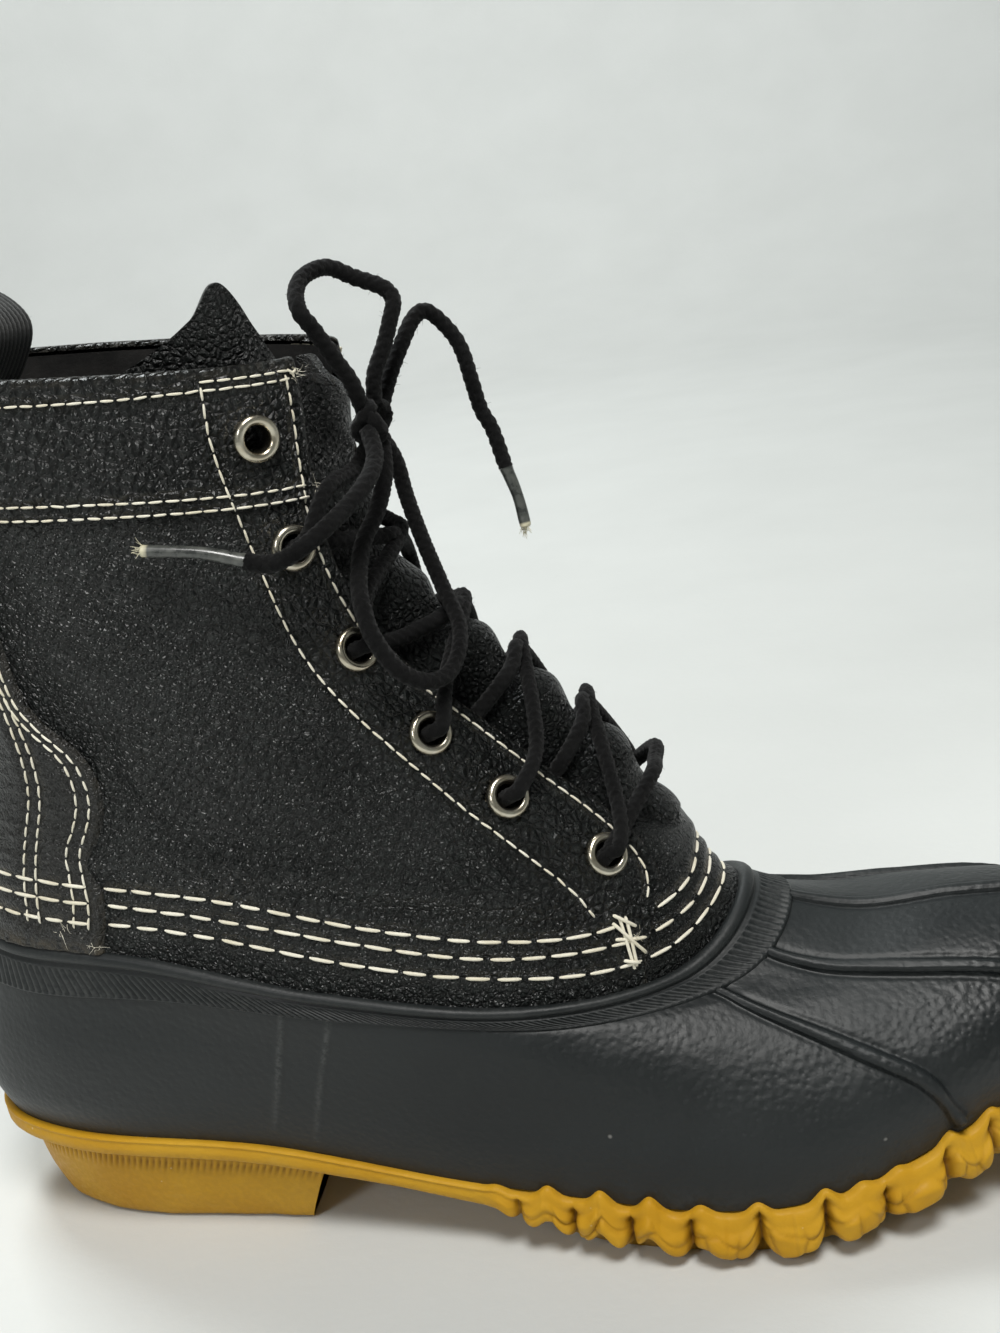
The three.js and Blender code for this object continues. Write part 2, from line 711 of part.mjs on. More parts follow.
// Eyelet: domed ring outside, barrel through the leather, washer behind it
function eyelet(at, row, face) {
  const hole = eyeletHoleRadius;
  const barrel = hole + eyeletBarrelWall;
  const outside = face + eyeletSeatGap;
  const inside = -leatherWall - eyeletSeatGap;
  const profile = [
    [hole, inside - eyeletWasher], [barrel + 1.1, inside - eyeletWasher * 0.5], [barrel, inside],
    [barrel, outside], [eyeletOuterRadius, outside],
    [(eyeletOuterRadius + hole) / 2, outside + eyeletDome], [hole, outside + eyeletDome * 0.6],
    [hole, inside - eyeletWasher],
  ].map(([r, y]) => new THREE.Vector2(r, y));
  return standOn(outsideOut(ringGeometry(profile)), at, row);
}

function ringGeometry(profile) {
  const geometry = new THREE.LatheGeometry(profile, eyeletSides);
  geometry.deleteAttribute('normal');
  geometry.deleteAttribute('uv');
  return mergeVertices(geometry, 1e-4);
}

// Backstay: overlay between two larger forms of the shaft
function makeBackstay() {
  const across = 16;
  const rows = [walk(0, toplineRow, 2 * curvedGap), ...SHAFT_ROWS, walk(0, collarRow, -bandHeight - 2)];
  const sections = [];
  for (let i = 0; i <= across; i += 1) {
    const share = 2 * i / across - 1;
    const point = (row, distance) => off(share * lookUp(BACKSTAY, 'row', 'at', row), row, distance);
    sections.push([
      ...rows.map((row) => point(row, overlayGap + overlayWall)),
      ...rows.map((row) => point(row, overlayGap)).reverse(),
    ]);
  }
  return loft(sections, false, 1);
}

// Tongue: a vamp piece between the quarters, and the sheet that runs up under them
function crown(at) {
  const away = (1 - Math.abs(at)) / tongueCrownReach;
  return away >= 1 ? 0 : (1 - away * away) ** 2;
}

function tongueFace(at, row) {
  const along = Math.min(Math.max((row - swellFrom) / (swellTo - swellFrom), 0), 1);
  const rise = tongueCrown + tongueSwell * Math.sin(Math.PI * along) - (row < tuckRow ? tongueTuck : 0);
  const wing = at < 0 ? Math.max(0, wingEdge - Math.abs(at)) * wingSlope : 0;
  return -tongueDepth - wing + rise * crown(at);
}

function makeTongue() {
  const sheet = [];
  const rows = 7;
  TONGUE.forEach((column, index) => {
    const next = TONGUE[index + 1];
    const parts = next ? 2 : 1;
    for (let k = 0; k < parts; k += 1) {
      const share = k / 2;
      const other = next ?? column;
      const away = (at) => (at < 0 ? at + 1 : 1 - at);
      const a = column.at < 0 ? -away(column.at) : away(column.at);
      const b = other.at < 0 ? -away(other.at) : away(other.at);
      const across = a + (b - a) * share;
      const at = across < 0 ? -1 - across : 1 - across;
      const from = column.from + (other.from - column.from) * share;
      const to = column.to + (other.to - column.to) * share;
      const face = [];
      const back = [];
      for (let i = 0; i <= rows; i += 1) {
        const row = from + (to - from) * i / rows;
        face.push(off(at, row, tongueFace(at, row)));
        back.push(off(at, row, tongueFace(at, row) - tongueWall));
      }
      sheet.push([...face, ...back.reverse()]);
    }
  });
  const vamp = [];
  const steps = 16;
  const reach = 1 - edgeAt(toplineRow + 0.05) - 0.006;
  for (let i = 0; i <= steps; i += 1) {
    const across = reach * (2 * i / steps - 1);
    const at = across < 0 ? -1 - across : 1 - across;
    const low = walk(at, toplineRow, curvedGap);
    const high = vampTop(Math.abs(at));
    const rows2 = [0, 1, 2].map((k) => low + Math.max(high - low, 0.03) * k / 2);
    vamp.push([
      ...rows2.map((row) => off(at, row, -0.2)),
      ...rows2.map((row) => off(at, row, -tongueWall)).reverse(),
    ]);
  }
  return toGeometry(toSolid(loft(sheet, false, 1)).add(toSolid(loft(vamp, false, 1))));
}

// Section where a quarter's edge passes above a place of the vamp piece, less a gap
function vampTop(at) {
  const gap = 0.05;
  const rising = QUARTER_EDGE.filter((entry) => entry.row <= 7.1);
  return Math.min(lookUp(rising, 'at', 'row', at) - gap, 7.05);
}

// Pull loop: webbing from the outside of the collar over to its inside. Its feet wrap round the
// back of the shaft and its crown is almost flat across.
const LOOP_PATH = [
  { along: 0.0742, up: 0.115 }, { along: 0.1072, up: 0.145 }, { along: 0.1422, up: 0.125 },
  { along: 0.1622, up: 0.07 }, { along: 0.1472, up: 0.0 }, { along: 0.1122, up: -0.08 },
];

function makeLoop() {
  const shaftRise = collarHeight - toplineHeight;
  const outside = overlayGap + bandProud + webbingWall / 2;
  const inside = -leatherWall - overlayGap - webbingWall / 2;
  const point = (p) => new THREE.Vector2(p.x, p.z);
  const path = [
    point(off(0, 10.15, outside)), point(off(0, 10.5, outside)), point(off(0, 10.9, outside + 0.3)),
    ...LOOP_PATH.map(({ along, up }) => (
      new THREE.Vector2(along * soleLength, collarHeight + up * shaftRise))),
    point(off(0, 10.35, inside)), point(off(0, 10.1, inside)),
  ];
  const curve = new THREE.SplineCurve(path);
  const steps = 20;
  const half = webbingWidth / 2;
  const places = [-half, -half / 2, 0, half / 2, half];
  const backRadius = PLAN[collarRow].heelRound * ballWidth;
  const sections = [];
  for (let i = 0; i <= steps; i += 1) {
    const share = i / steps;
    const p = curve.getPoint(share);
    const tangent = curve.getTangent(share);
    const foot = Math.abs(2 * share - 1) ** 1.5;
    const edge = (side) => places.map((y) => new THREE.Vector3(
      p.x - side * tangent.y * webbingWall / 2 + foot * y * y / (2 * backRadius),
      y,
      p.y + side * tangent.x * webbingWall / 2,
    ));
    sections.push([...edge(1), ...edge(-1).reverse()]);
  }
  return loft(sections, false, 1);
}

// Lace: each strand comes out of an eyelet, lies over the tongue and dives under the other quarter
const strandOver = (at, row, rest) => off(at, row, rest + laceDiameter / 2 + laceGap);

function eyeletMouth(index, side) {
  const { row, at } = EYELETS[index];
  return strandOver(side * at, row, eyeletSeatGap + eyeletDome);
}

function overEdge(index, side) {
  const row = EYELETS[index].row + 0.22 * (EYELETS[index - 1].row - EYELETS[index].row);
  return strandOver(side * edgeAt(row), row, eyeletSeatGap + eyeletDome);
}

function overTongue(at, row, rest) {
  return strandOver(at, row, tongueFace(Math.abs(at), row) + rest);
}

function strand(index, side) {
  const { crest } = EYELETS[index];
  const above = EYELETS[index - 1].row;
  const across = (share, rest) => {
    const at = 1 - share * (1 - edgeAt(crest));
    return overTongue(-side * at, crest + (above - crest) * share, rest);
  };
  return bar([
    eyeletMouth(index, side), overEdge(index, side), across(0, laceGap), across(0.35, 2 * laceGap),
    across(0.7, laceGap),
  ], laceDiameter / 2, crossingSides, 6);
}

// Lowest run of the lace, straight across between the last two eyelets
function lowestRun() {
  const last = EYELETS.length - 1;
  const flank = 1 - (1 - edgeAt(lowestCrest)) / 2;
  return bar([
    eyeletMouth(last, -1), overTongue(-flank, lowestCrest, laceDiameter), overTongue(1, lowestCrest, laceGap),
    overTongue(flank, lowestCrest, laceDiameter), eyeletMouth(last, 1),
  ], laceDiameter / 2, crossingSides, 8);
}

function makeCrossing(index) {
  const solid = toSolid(strand(index, -1)).add(toSolid(strand(index, 1)));
  return toGeometry(index === EYELETS.length - 1 ? solid.add(toSolid(lowestRun())) : solid);
}

// Knot on the tongue, with the two strands that reach it from the second eyelets
const KNOT = new THREE.Vector3(129, -7, 190);

function knotBall(gap) {
  const ball = new THREE.SphereGeometry(1, 10, 7);
  ball.scale(knotDepth / 2 + gap, knotWidth / 2 + gap, knotHeight / 2 + gap);
  ball.translate(KNOT.x, KNOT.y, KNOT.z);
  return toSolid(ball);
}

function makeKnot() {
  const tie = (side) => toSolid(bar([
    eyeletMouth(1, side), overEdge(1, side), strandOver(side * 0.94, EYELETS[1].crest,
      tongueFace(1, EYELETS[1].crest)), KNOT.clone(),
  ], laceDiameter / 2, crossingSides, 6));
  return toGeometry(knotBall(0).add(tie(-1)).add(tie(1)));
}

// Free lace: loops that start and end at the knot, and ends that stop at their aglets
const LOOP_UP = [
  [128, -10, 194], [127, -12, 200], [125, -14, 205], [122, -16, 212], [120, -17, 216], [119, -14, 220],
  [120, -9, 223], [124, -4, 224], [129, -1, 221], [135, -1, 218], [137, -2, 215], [136, -4, 211],
  [134, -5, 206], [131, -6, 200], [130, -6, 194],
];
const LOOP_DOWN = [
  [130, -4, 186], [132, -3, 180], [133, -3, 172], [135.5, -5, 162], [139.3, -9, 151.2], [142.4, -13.5, 144.4],
  [143, -19.5, 139.8], [141, -25, 136], [137, -30, 136], [132, -33, 140], [128, -33, 147], [126, -31, 153],
  [125, -27, 159], [126, -22, 166], [129, -16, 172], [131, -12, 179], [131, -9, 186],
];
const END_INNER = [
  [130, -3, 191], [133, 1, 199], [136, 4, 205], [139, 7, 210], [142, 9, 211], [146, 11, 206], [148, 12, 201],
  [149, 13, 194], [150, 14, 187], [152, 14, 182], [154, 13, 173],
];
const END_OUTER = [
  [129, -12, 189], [131, -18, 184], [130, -25, 180], [126, -30, 176], [122, -35, 173], [117, -38, 170],
  [112, -39, 168], [108, -39, 168], [105, -39, 169],
];
const AGLET_INNER = [[154, 13, 173], [156, 12, 166], [157, 11, 159]];
const AGLET_OUTER = [[105, -39, 169], [96, -40, 172], [84, -41, 174]];

const toPoints = (list) => list.map(([x, y, z]) => new THREE.Vector3(x, y, z));

function freeLace(list) {
  const steps = list.length;
  const tube = toSolid(bar(toPoints(list), laceDiameter / 2, laceSides, steps));
  return toGeometry(tube.subtract(knotBall(clearance)));
}

// Aglet: starts a gap beyond the lace's end
function aglet(list) {
  const points = toPoints(list);
  points[0].addScaledVector(points[1].clone().sub(points[0]).normalize(), clearance);
  return bar(points, agletDiameter / 2, laceSides, 3);
}

place('outsole', makeOutsole(), gum);
place('rubber_shell', makeShell(), rubber);
place('leather_upper', makeUpper(), leather);
place('tongue', makeTongue(), leather);
place('insole', makeInsole(), lining);
place('backstay', makeBackstay(), wornLeather);
place('pull_loop', makeLoop(), webbing);
eyeletPlaces().forEach(({ name, at, row, face }) => place(name, eyelet(at, row, face), nickel));
EYELETS.forEach((unused, index) => {
  if (index > 1) place(`lace_crossing_${index}`, makeCrossing(index), braid);
});
place('lace_knot', makeKnot(), braid);
place('lace_loop_up', freeLace(LOOP_UP), braid);
place('lace_loop_down', freeLace(LOOP_DOWN), braid);
place('lace_end_inner', freeLace(END_INNER), braid);
place('lace_end_outer', freeLace(END_OUTER), braid);
place('aglet_inner', aglet(AGLET_INNER), sheath);
place('aglet_outer', aglet(AGLET_OUTER), sheath);

export default boot;
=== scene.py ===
"""Duck boot for the right foot: rubber foot, gum sole, stitched leather shaft and braided laces.

Sizes are millimetres in the boot's own table frame, where X runs from the back of the sole to
the toe, -Y is the outer side and Z is up. Meshes are written in metres, with the origin in the
middle of the heel's flat bottom.
"""
import logging
import math
from dataclasses import dataclass, field
from enum import Enum
from typing import Callable, Iterable, Mapping, Sequence, Union

import bpy
import numpy as np
from mathutils import Matrix, Vector
from mathutils.kdtree import KDTree


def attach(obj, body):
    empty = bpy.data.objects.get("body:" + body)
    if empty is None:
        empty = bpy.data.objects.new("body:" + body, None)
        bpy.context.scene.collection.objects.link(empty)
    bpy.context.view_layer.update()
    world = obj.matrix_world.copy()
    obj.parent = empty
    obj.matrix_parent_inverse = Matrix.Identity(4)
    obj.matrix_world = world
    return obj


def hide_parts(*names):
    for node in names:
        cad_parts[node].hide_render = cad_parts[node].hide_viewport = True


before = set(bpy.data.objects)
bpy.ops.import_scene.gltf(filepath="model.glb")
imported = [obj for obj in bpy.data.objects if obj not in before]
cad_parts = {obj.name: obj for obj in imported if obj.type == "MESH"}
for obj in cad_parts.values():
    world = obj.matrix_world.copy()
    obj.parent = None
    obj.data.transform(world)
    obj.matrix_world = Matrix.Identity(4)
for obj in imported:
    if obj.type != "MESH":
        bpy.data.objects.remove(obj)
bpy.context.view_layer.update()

LOG = logging.getLogger("duck_boot")
Array = np.ndarray
Path = Sequence[tuple[float, float]]
Colour = tuple[float, float, float, float]
Socket = bpy.types.NodeSocket
Value = Union[Socket, float, tuple]
Given = Mapping[str, Socket]
Relief = Callable[[Array, Array, Array], Array]
MM = 0.001

# Sizes shared with the solids
SOLE_LENGTH = 281.0
BALL_WIDTH = 100.0
TOPLINE_HEIGHT = 80.0
COLLAR_HEIGHT = 212.0
HEEL_CENTRE = 45.0
SEAT_HEIGHT = 21.0
TOPLINE_ROW = 6.0
COLLAR_ROW = 11.0
LAST_ROW = 12
BAND_PROUD = 1.0
LEATHER_WALL = 1.8
RUBBER_WALL = 3.3
BEAD_HEIGHT = 3.2
STRIP_HEIGHT = 10.0
FLANGE_HEIGHT = 15.0
TONGUE_WALL = 1.6
LACE_DIAMETER = 4.0
LACE_GAP = 0.8
EYELET_RADIUS = 5.1
EYELET_HOLE = 2.8
EYELET_SEAT = 0.8
EYELET_DOME = 1.1
KNOT = np.array([129.0, -7.0, 190.0])

STATIONS = np.array([0.0, 0.2, 0.35, 0.5, 0.65, 0.8, 1.0])


class Side(Enum):
    """Side of the boot: the outer side has negative places around it."""

    OUTER = -1
    INNER = 1


@dataclass(frozen=True)
class Section:
    """One closed ring of the boot, as shares of the sole's length, the ball's width and the rises."""

    name: str
    back: float
    front: float
    heel_round: float
    toe_round: float
    swing: float
    outer: tuple[float, ...]
    inner: tuple[float, ...]
    rise: tuple[float, ...]


SECTIONS = (
    Section("feather", 0, 1, 0.29, 0.32, 0.06, (0.295, 0.35, 0.44, 0.525, 0.34),
            (0.295, 0.33, 0.36, 0.46, 0.34), (0.35, 0.348, 0.31, 0.194, 0.169, 0.3, 0.363)),
    Section("lower wall", -0.011, 1.014, 0.31, 0.34, 0.06, (0.315, 0.375, 0.46, 0.525, 0.355),
            (0.315, 0.355, 0.395, 0.48, 0.355), (0.463, 0.456, 0.419, 0.325, 0.331, 0.456, 0.525)),
    Section("belly", -0.011, 1.0, 0.32, 0.35, 0.06, (0.32, 0.39, 0.465, 0.5, 0.34),
            (0.32, 0.37, 0.415, 0.475, 0.34), (0.575, 0.569, 0.525, 0.438, 0.438, 0.563, 0.663)),
    Section("toe cap", -0.004, 0.957, 0.32, 0.35, 0.05, (0.32, 0.395, 0.465, 0.47, 0.305),
            (0.32, 0.375, 0.425, 0.455, 0.305), (0.681, 0.675, 0.638, 0.55, 0.519, 0.625, 0.744)),
    Section("toe crown", 0.004, 0.883, 0.31, 0.35, 0.03, (0.31, 0.39, 0.46, 0.445, 0.28),
            (0.31, 0.375, 0.43, 0.435, 0.28), (0.788, 0.781, 0.75, 0.663, 0.6, 0.656, 0.765)),
    Section("vamp", 0.011, 0.794, 0.3, 0.34, 0.015, (0.3, 0.385, 0.45, 0.43, 0.285),
            (0.3, 0.375, 0.425, 0.42, 0.285), (0.894, 0.894, 0.863, 0.769, 0.681, 0.681, 0.756)),
    Section("topline", 0.021, 0.706, 0.28, 0.3, 0, (0.29, 0.38, 0.43, 0.42, 0.29),
            (0.29, 0.375, 0.42, 0.41, 0.29), (1, 1.019, 0.988, 0.869, 0.775, 0.754, 0.875)),
    Section("instep", 0.043, 0.658, 0.27, 0.32, 0, (0.27, 0.355, 0.405, 0.38, 0.27),
            (0.27, 0.355, 0.4, 0.375, 0.27), (0.174, 0.182, 0.159, 0.11, 0.061, 0.034, 0.061)),
    Section("ankle", 0.068, 0.562, 0.25, 0.34, 0, (0.26, 0.34, 0.375, 0.35, 0.26),
            (0.26, 0.34, 0.375, 0.35, 0.26), (0.356, 0.356, 0.341, 0.303, 0.265, 0.242, 0.25)),
    Section("bend", 0.085, 0.466, 0.25, 0.36, 0, (0.26, 0.34, 0.37, 0.345, 0.265),
            (0.26, 0.34, 0.37, 0.345, 0.265), (0.545, 0.545, 0.538, 0.523, 0.508, 0.496, 0.492)),
    Section("shaft", 0.082, 0.434, 0.26, 0.38, 0, (0.26, 0.35, 0.38, 0.355, 0.27),
            (0.26, 0.35, 0.38, 0.355, 0.27), (0.773, 0.773, 0.765, 0.758, 0.75, 0.746, 0.742)),
    Section("collar", 0.064, 0.434, 0.27, 0.36, 0, (0.27, 0.36, 0.385, 0.365, 0.27),
            (0.27, 0.36, 0.385, 0.365, 0.27), (1.015, 1.011, 1, 0.985, 0.97, 0.958, 0.955)),
    Section("above", 0.05, 0.43, 0.27, 0.36, 0, (0.27, 0.36, 0.385, 0.365, 0.27),
            (0.27, 0.36, 0.385, 0.365, 0.27), (1.22, 1.215, 1.205, 1.19, 1.175, 1.163, 1.16)),
)

# Front edge of a quarter and edge of the backstay: section number, place around
QUARTER_EDGE = np.array([
    (5.7, 0.765), (5.98, 0.777), (6.58, 0.839), (6.82, 0.874), (7.03, 0.887), (7.43, 0.9),
    (7.87, 0.899), (8.36, 0.884), (8.8, 0.858), (9.32, 0.847), (10.02, 0.853), (10.47, 0.861),
    (11, 0.857), (12, 0.857),
])
BACKSTAY_EDGE = np.array([
    (5.9, 0.325), (6.81, 0.329), (6.98, 0.324), (7.24, 0.336), (7.62, 0.355), (7.85, 0.358),
    (8.17, 0.344), (8.45, 0.303), (8.81, 0.283), (9.3, 0.28), (10.2, 0.28),
])
# Inner pair of stitch rows on the backstay
BACKSTAY_LINE = np.array([
    (6.1, 0.243), (6.9, 0.239), (7.2, 0.245), (7.65, 0.26), (8.0, 0.263), (8.4, 0.254), (8.9, 0.232),
    (9.8, 0.222),
])
EYELETS = np.array([
    (10.49, 0.771), (9.68, 0.783), (8.95, 0.799), (8.34, 0.791), (7.8, 0.801), (7.17, 0.832),
])
# Section numbers where the lace from each eyelet crosses the middle of the tongue
CRESTS = (10.49, 10.08, 9.5, 8.84, 8.42, 7.93)
LOWEST_CREST = 7.35

# Sole along its length: share of the length, height of the underside and depth of the side band
# as shares of the seat's height, and how lumped the band is
SOLE = np.array([
    (0, 1, 0.28, 0), (0.12, 0.99, 0.28, 0), (0.33, 0.81, 0.27, 0), (0.4, 0.69, 0.27, 0),
    (0.475, 0.5, 0.29, 0), (0.5, 0.33, 0.38, 0.7), (0.55, 0.07, 0.5, 1), (0.58, 0, 0.52, 1),
    (0.7, 0, 0.56, 1), (0.75, 0.07, 0.6, 1), (0.8, 0.2, 0.62, 1), (0.86, 0.36, 0.6, 1),
    (0.92, 0.54, 0.56, 1), (1, 0.8, 0.5, 1),
])

# Tongue: place across from the middle of the throat, first and last section number
TONGUE = np.array([
    (-0.42, 10.7, 11.0), (-0.35, 9.8, 11.19), (-0.285, 8.8, 11.4), (-0.205, 7.5, 11.64),
    (-0.17, 7.0, 11.32), (-0.13, 6.85, 11.0), (-0.07, 6.75, 10.8), (0, 6.75, 10.66),
    (0.07, 6.75, 10.74), (0.13, 6.85, 10.86), (0.18, 7.0, 10.92), (0.23, 7.7, 10.9),
])

# Ribs and side lines of the rubber foot: section number, place around
RIDGE = ((5.7, 0.895), (5.35, 0.877), (4.8, 0.859), (4.08, 0.846), (3.2, 0.848), (2.2, 0.862), (1.3, 0.875),
         (0.3, 0.89))
RIBS = (
    (Side.OUTER, ((5.55, 0.806), (4.6, 0.752), (3.6, 0.724), (2.6, 0.718), (1.6, 0.729), (0.3, 0.753))),
    (Side.OUTER, RIDGE),
    (Side.OUTER, tuple((row, 0.995) for row in (5.75, 5.3, 4.7, 4.1, 3.3, 2.5))),
    (Side.INNER, RIDGE),
    (Side.INNER, ((5.55, 0.806), (4.4, 0.745), (3.0, 0.7), (1.7, 0.676), (0.3, 0.665))),
)
SIDE_LINES = (
    ((4.9, 0.44), (3.67, 0.406), (2.31, 0.384), (0.74, 0.369)),
    ((5.2, 0.483), (3.9, 0.44), (2.5, 0.411), (0.57, 0.393)),
)

LOOP_UP = (
    (128, -10, 194), (127, -12, 200), (125, -14, 205), (122, -16, 212), (120, -17, 216),
    (119, -14, 220), (120, -9, 223), (124, -4, 224), (129, -1, 221), (135, -1, 218),
    (137, -2, 215), (136, -4, 211), (134, -5, 206), (131, -6, 200), (130, -6, 194),
)
LOOP_DOWN = (
    (130, -4, 186), (132, -3, 180), (133, -3, 172), (135.5, -5, 162), (139.3, -9, 151.2),
    (142.4, -13.5, 144.4), (143, -19.5, 139.8), (141, -25, 136), (137, -30, 136), (132, -33, 140),
    (128, -33, 147), (126, -31, 153), (125, -27, 159), (126, -22, 166), (129, -16, 172),
    (131, -12, 179), (131, -9, 186),
)
END_INNER = (
    (130, -3, 191), (133, 1, 199), (136, 4, 205), (139, 7, 210), (142, 9, 211), (146, 11, 206),
    (148, 12, 201), (149, 13, 194), (150, 14, 187), (152, 14, 182), (154, 13, 173),
)
END_OUTER = (
    (129, -12, 189), (131, -18, 184), (130, -25, 180), (126, -30, 176), (122, -35, 173),
    (117, -38, 170), (112, -39, 168), (108, -39, 168), (105, -39, 169),
)
AGLET_INNER = ((154, 13, 173), (156, 12, 166), (157, 11, 159))
AGLET_OUTER = ((105, -39, 169), (96, -40, 172), (84, -41, 174))


def tangents(places: Array, values: Array, flat: bool) -> Array:
    """Slopes of a smooth curve at its given places.

    Args:
        places: where the values lie, rising.
        values: the values, with the places along the last axis.
        flat: whether the curve is level at both ends.

    Returns:
        One slope for each value.
    """
    step = np.diff(places)
    slope = np.diff(values, axis=-1) / step
    made = np.zeros_like(values)
    crossed = slope[..., :-1] * step[1:] + slope[..., 1:] * step[:-1]
    made[..., 1:-1] = crossed / (step[1:] + step[:-1])
    if not flat:
        made[..., 0] = slope[..., 0]
        made[..., -1] = slope[..., -1]
    return made


def blend(share: Array, width: Array, low: Array, low_slope: Array, high: Array, high_slope: Array) -> Array:
    """Cubic between two values with given slopes.

    Args:
        share: how far between the two values, 0 to 1.
        width: distance between their places.
        low: first value.
        low_slope: slope at the first value.
        high: second value.
        high_slope: slope at the second value.

    Returns:
        The values between.
    """
    square, cube = share**2, share**3
    return ((2 * cube - 3 * square + 1) * low + (cube - 2 * square + share) * width * low_slope
            + (3 * square - 2 * cube) * high + (cube - square) * width * high_slope)


def curve(table: Array, place: Array) -> Array:
    """Smooth curve through a table of place and value.

    Args:
        table: rows of place and value, places rising.
        place: where the value is wanted.

    Returns:
        The values there.
    """
    places, values = table[:, 0], table[:, 1]
    slopes = tangents(places, values, False)
    spot = np.clip(place, places[0], places[-1])
    i = np.clip(np.searchsorted(places, spot, side="right") - 1, 0, len(places) - 2)
    width = places[i + 1] - places[i]
    return blend((spot - places[i]) / width, width, values[i], slopes[i], values[i + 1], slopes[i + 1])


def ease(value: Array) -> Array:
    """Soft step from 0 to 1."""
    share = np.clip(value, 0, 1)
    return share * share * (3 - 2 * share)


def bell(value: Array, width: float, power: float = 2) -> Array:
    """Bump of height 1 around zero."""
    return np.exp(-(np.abs(value) / width) ** power)


def unit(vectors: Array) -> Array:
    """Vectors of length one."""
    return vectors / np.maximum(np.linalg.norm(vectors, axis=-1, keepdims=True), 1e-9)


def run_along(line: Array) -> Array:
    """Distance of each point from the start of its line."""
    return np.concatenate([[0], np.cumsum(np.linalg.norm(np.diff(line, axis=0), axis=-1))])


def hashed(cells: Array, seed: int) -> Array:
    """Fixed random number for each whole-number cell.

    Args:
        cells: whole numbers, the last axis holding the cell's coordinates.
        seed: which series.

    Returns:
        Numbers from 0 to 1.
    """
    mixed = np.full(cells.shape[:-1], seed * 2654435761 % 2**32, dtype=np.uint64)
    for k in range(cells.shape[-1]):
        mixed = (mixed ^ (cells[..., k].astype(np.int64) & 0xFFFFFFFF).astype(np.uint64)) * 2246822519
        mixed &= 0xFFFFFFFF
        mixed ^= mixed >> 13
    mixed = mixed * 3266489917 & 0xFFFFFFFF
    return ((mixed ^ (mixed >> 16)) & 0xFFFFFF) / float(0xFFFFFF)


def noise(points: Array, size: float | Array, seed: int) -> Array:
    """Smooth noise from -1 to 1.

    Args:
        points: places, millimetres, with the coordinates along the last axis.
        size: length of one swell, or one length for each axis.
        seed: which series.

    Returns:
        One value for each place.
    """
    scaled = points / size
    cell = np.floor(scaled).astype(np.int64)
    part = ease(scaled - cell)
    axes = points.shape[-1]
    total = np.zeros(points.shape[:-1])
    for corner in range(2**axes):
        steps = np.array([(corner >> k) & 1 for k in range(axes)])
        weight = np.prod(np.where(steps, part, 1 - part), axis=-1)
        total += weight * hashed(cell + steps, seed)
    return 2 * total - 1


def cells(points: Array, size: float, seed: int) -> tuple[Array, Array, Array]:
    """Distances to the nearest and the second nearest of scattered centres.

    Args:
        points: places in a plane.
        size: mean distance between centres.
        seed: which series.

    Returns:
        Both distances as shares of the size, and a fixed random number of the nearest centre.
    """
    scaled = points / size
    base = np.floor(scaled).astype(np.int64)
    first = np.full(points.shape[:-1], 9.0)
    second = first.copy()
    tag = first.copy()
    for dx in (-1, 0, 1):
        for dy in (-1, 0, 1):
            near = base + np.array([dx, dy])
            shift = np.stack([2 * hashed(near, seed) - 1, 2 * hashed(near, seed + 7) - 1], -1)
            centre = near + 0.5 + 0.38 * shift
            gap = np.linalg.norm(scaled - centre, axis=-1)
            closer = gap < first
            second = np.where(closer, first, np.minimum(second, gap))
            tag = np.where(closer, hashed(near, seed + 3), tag)
            first = np.where(closer, gap, first)
    return first, second, tag


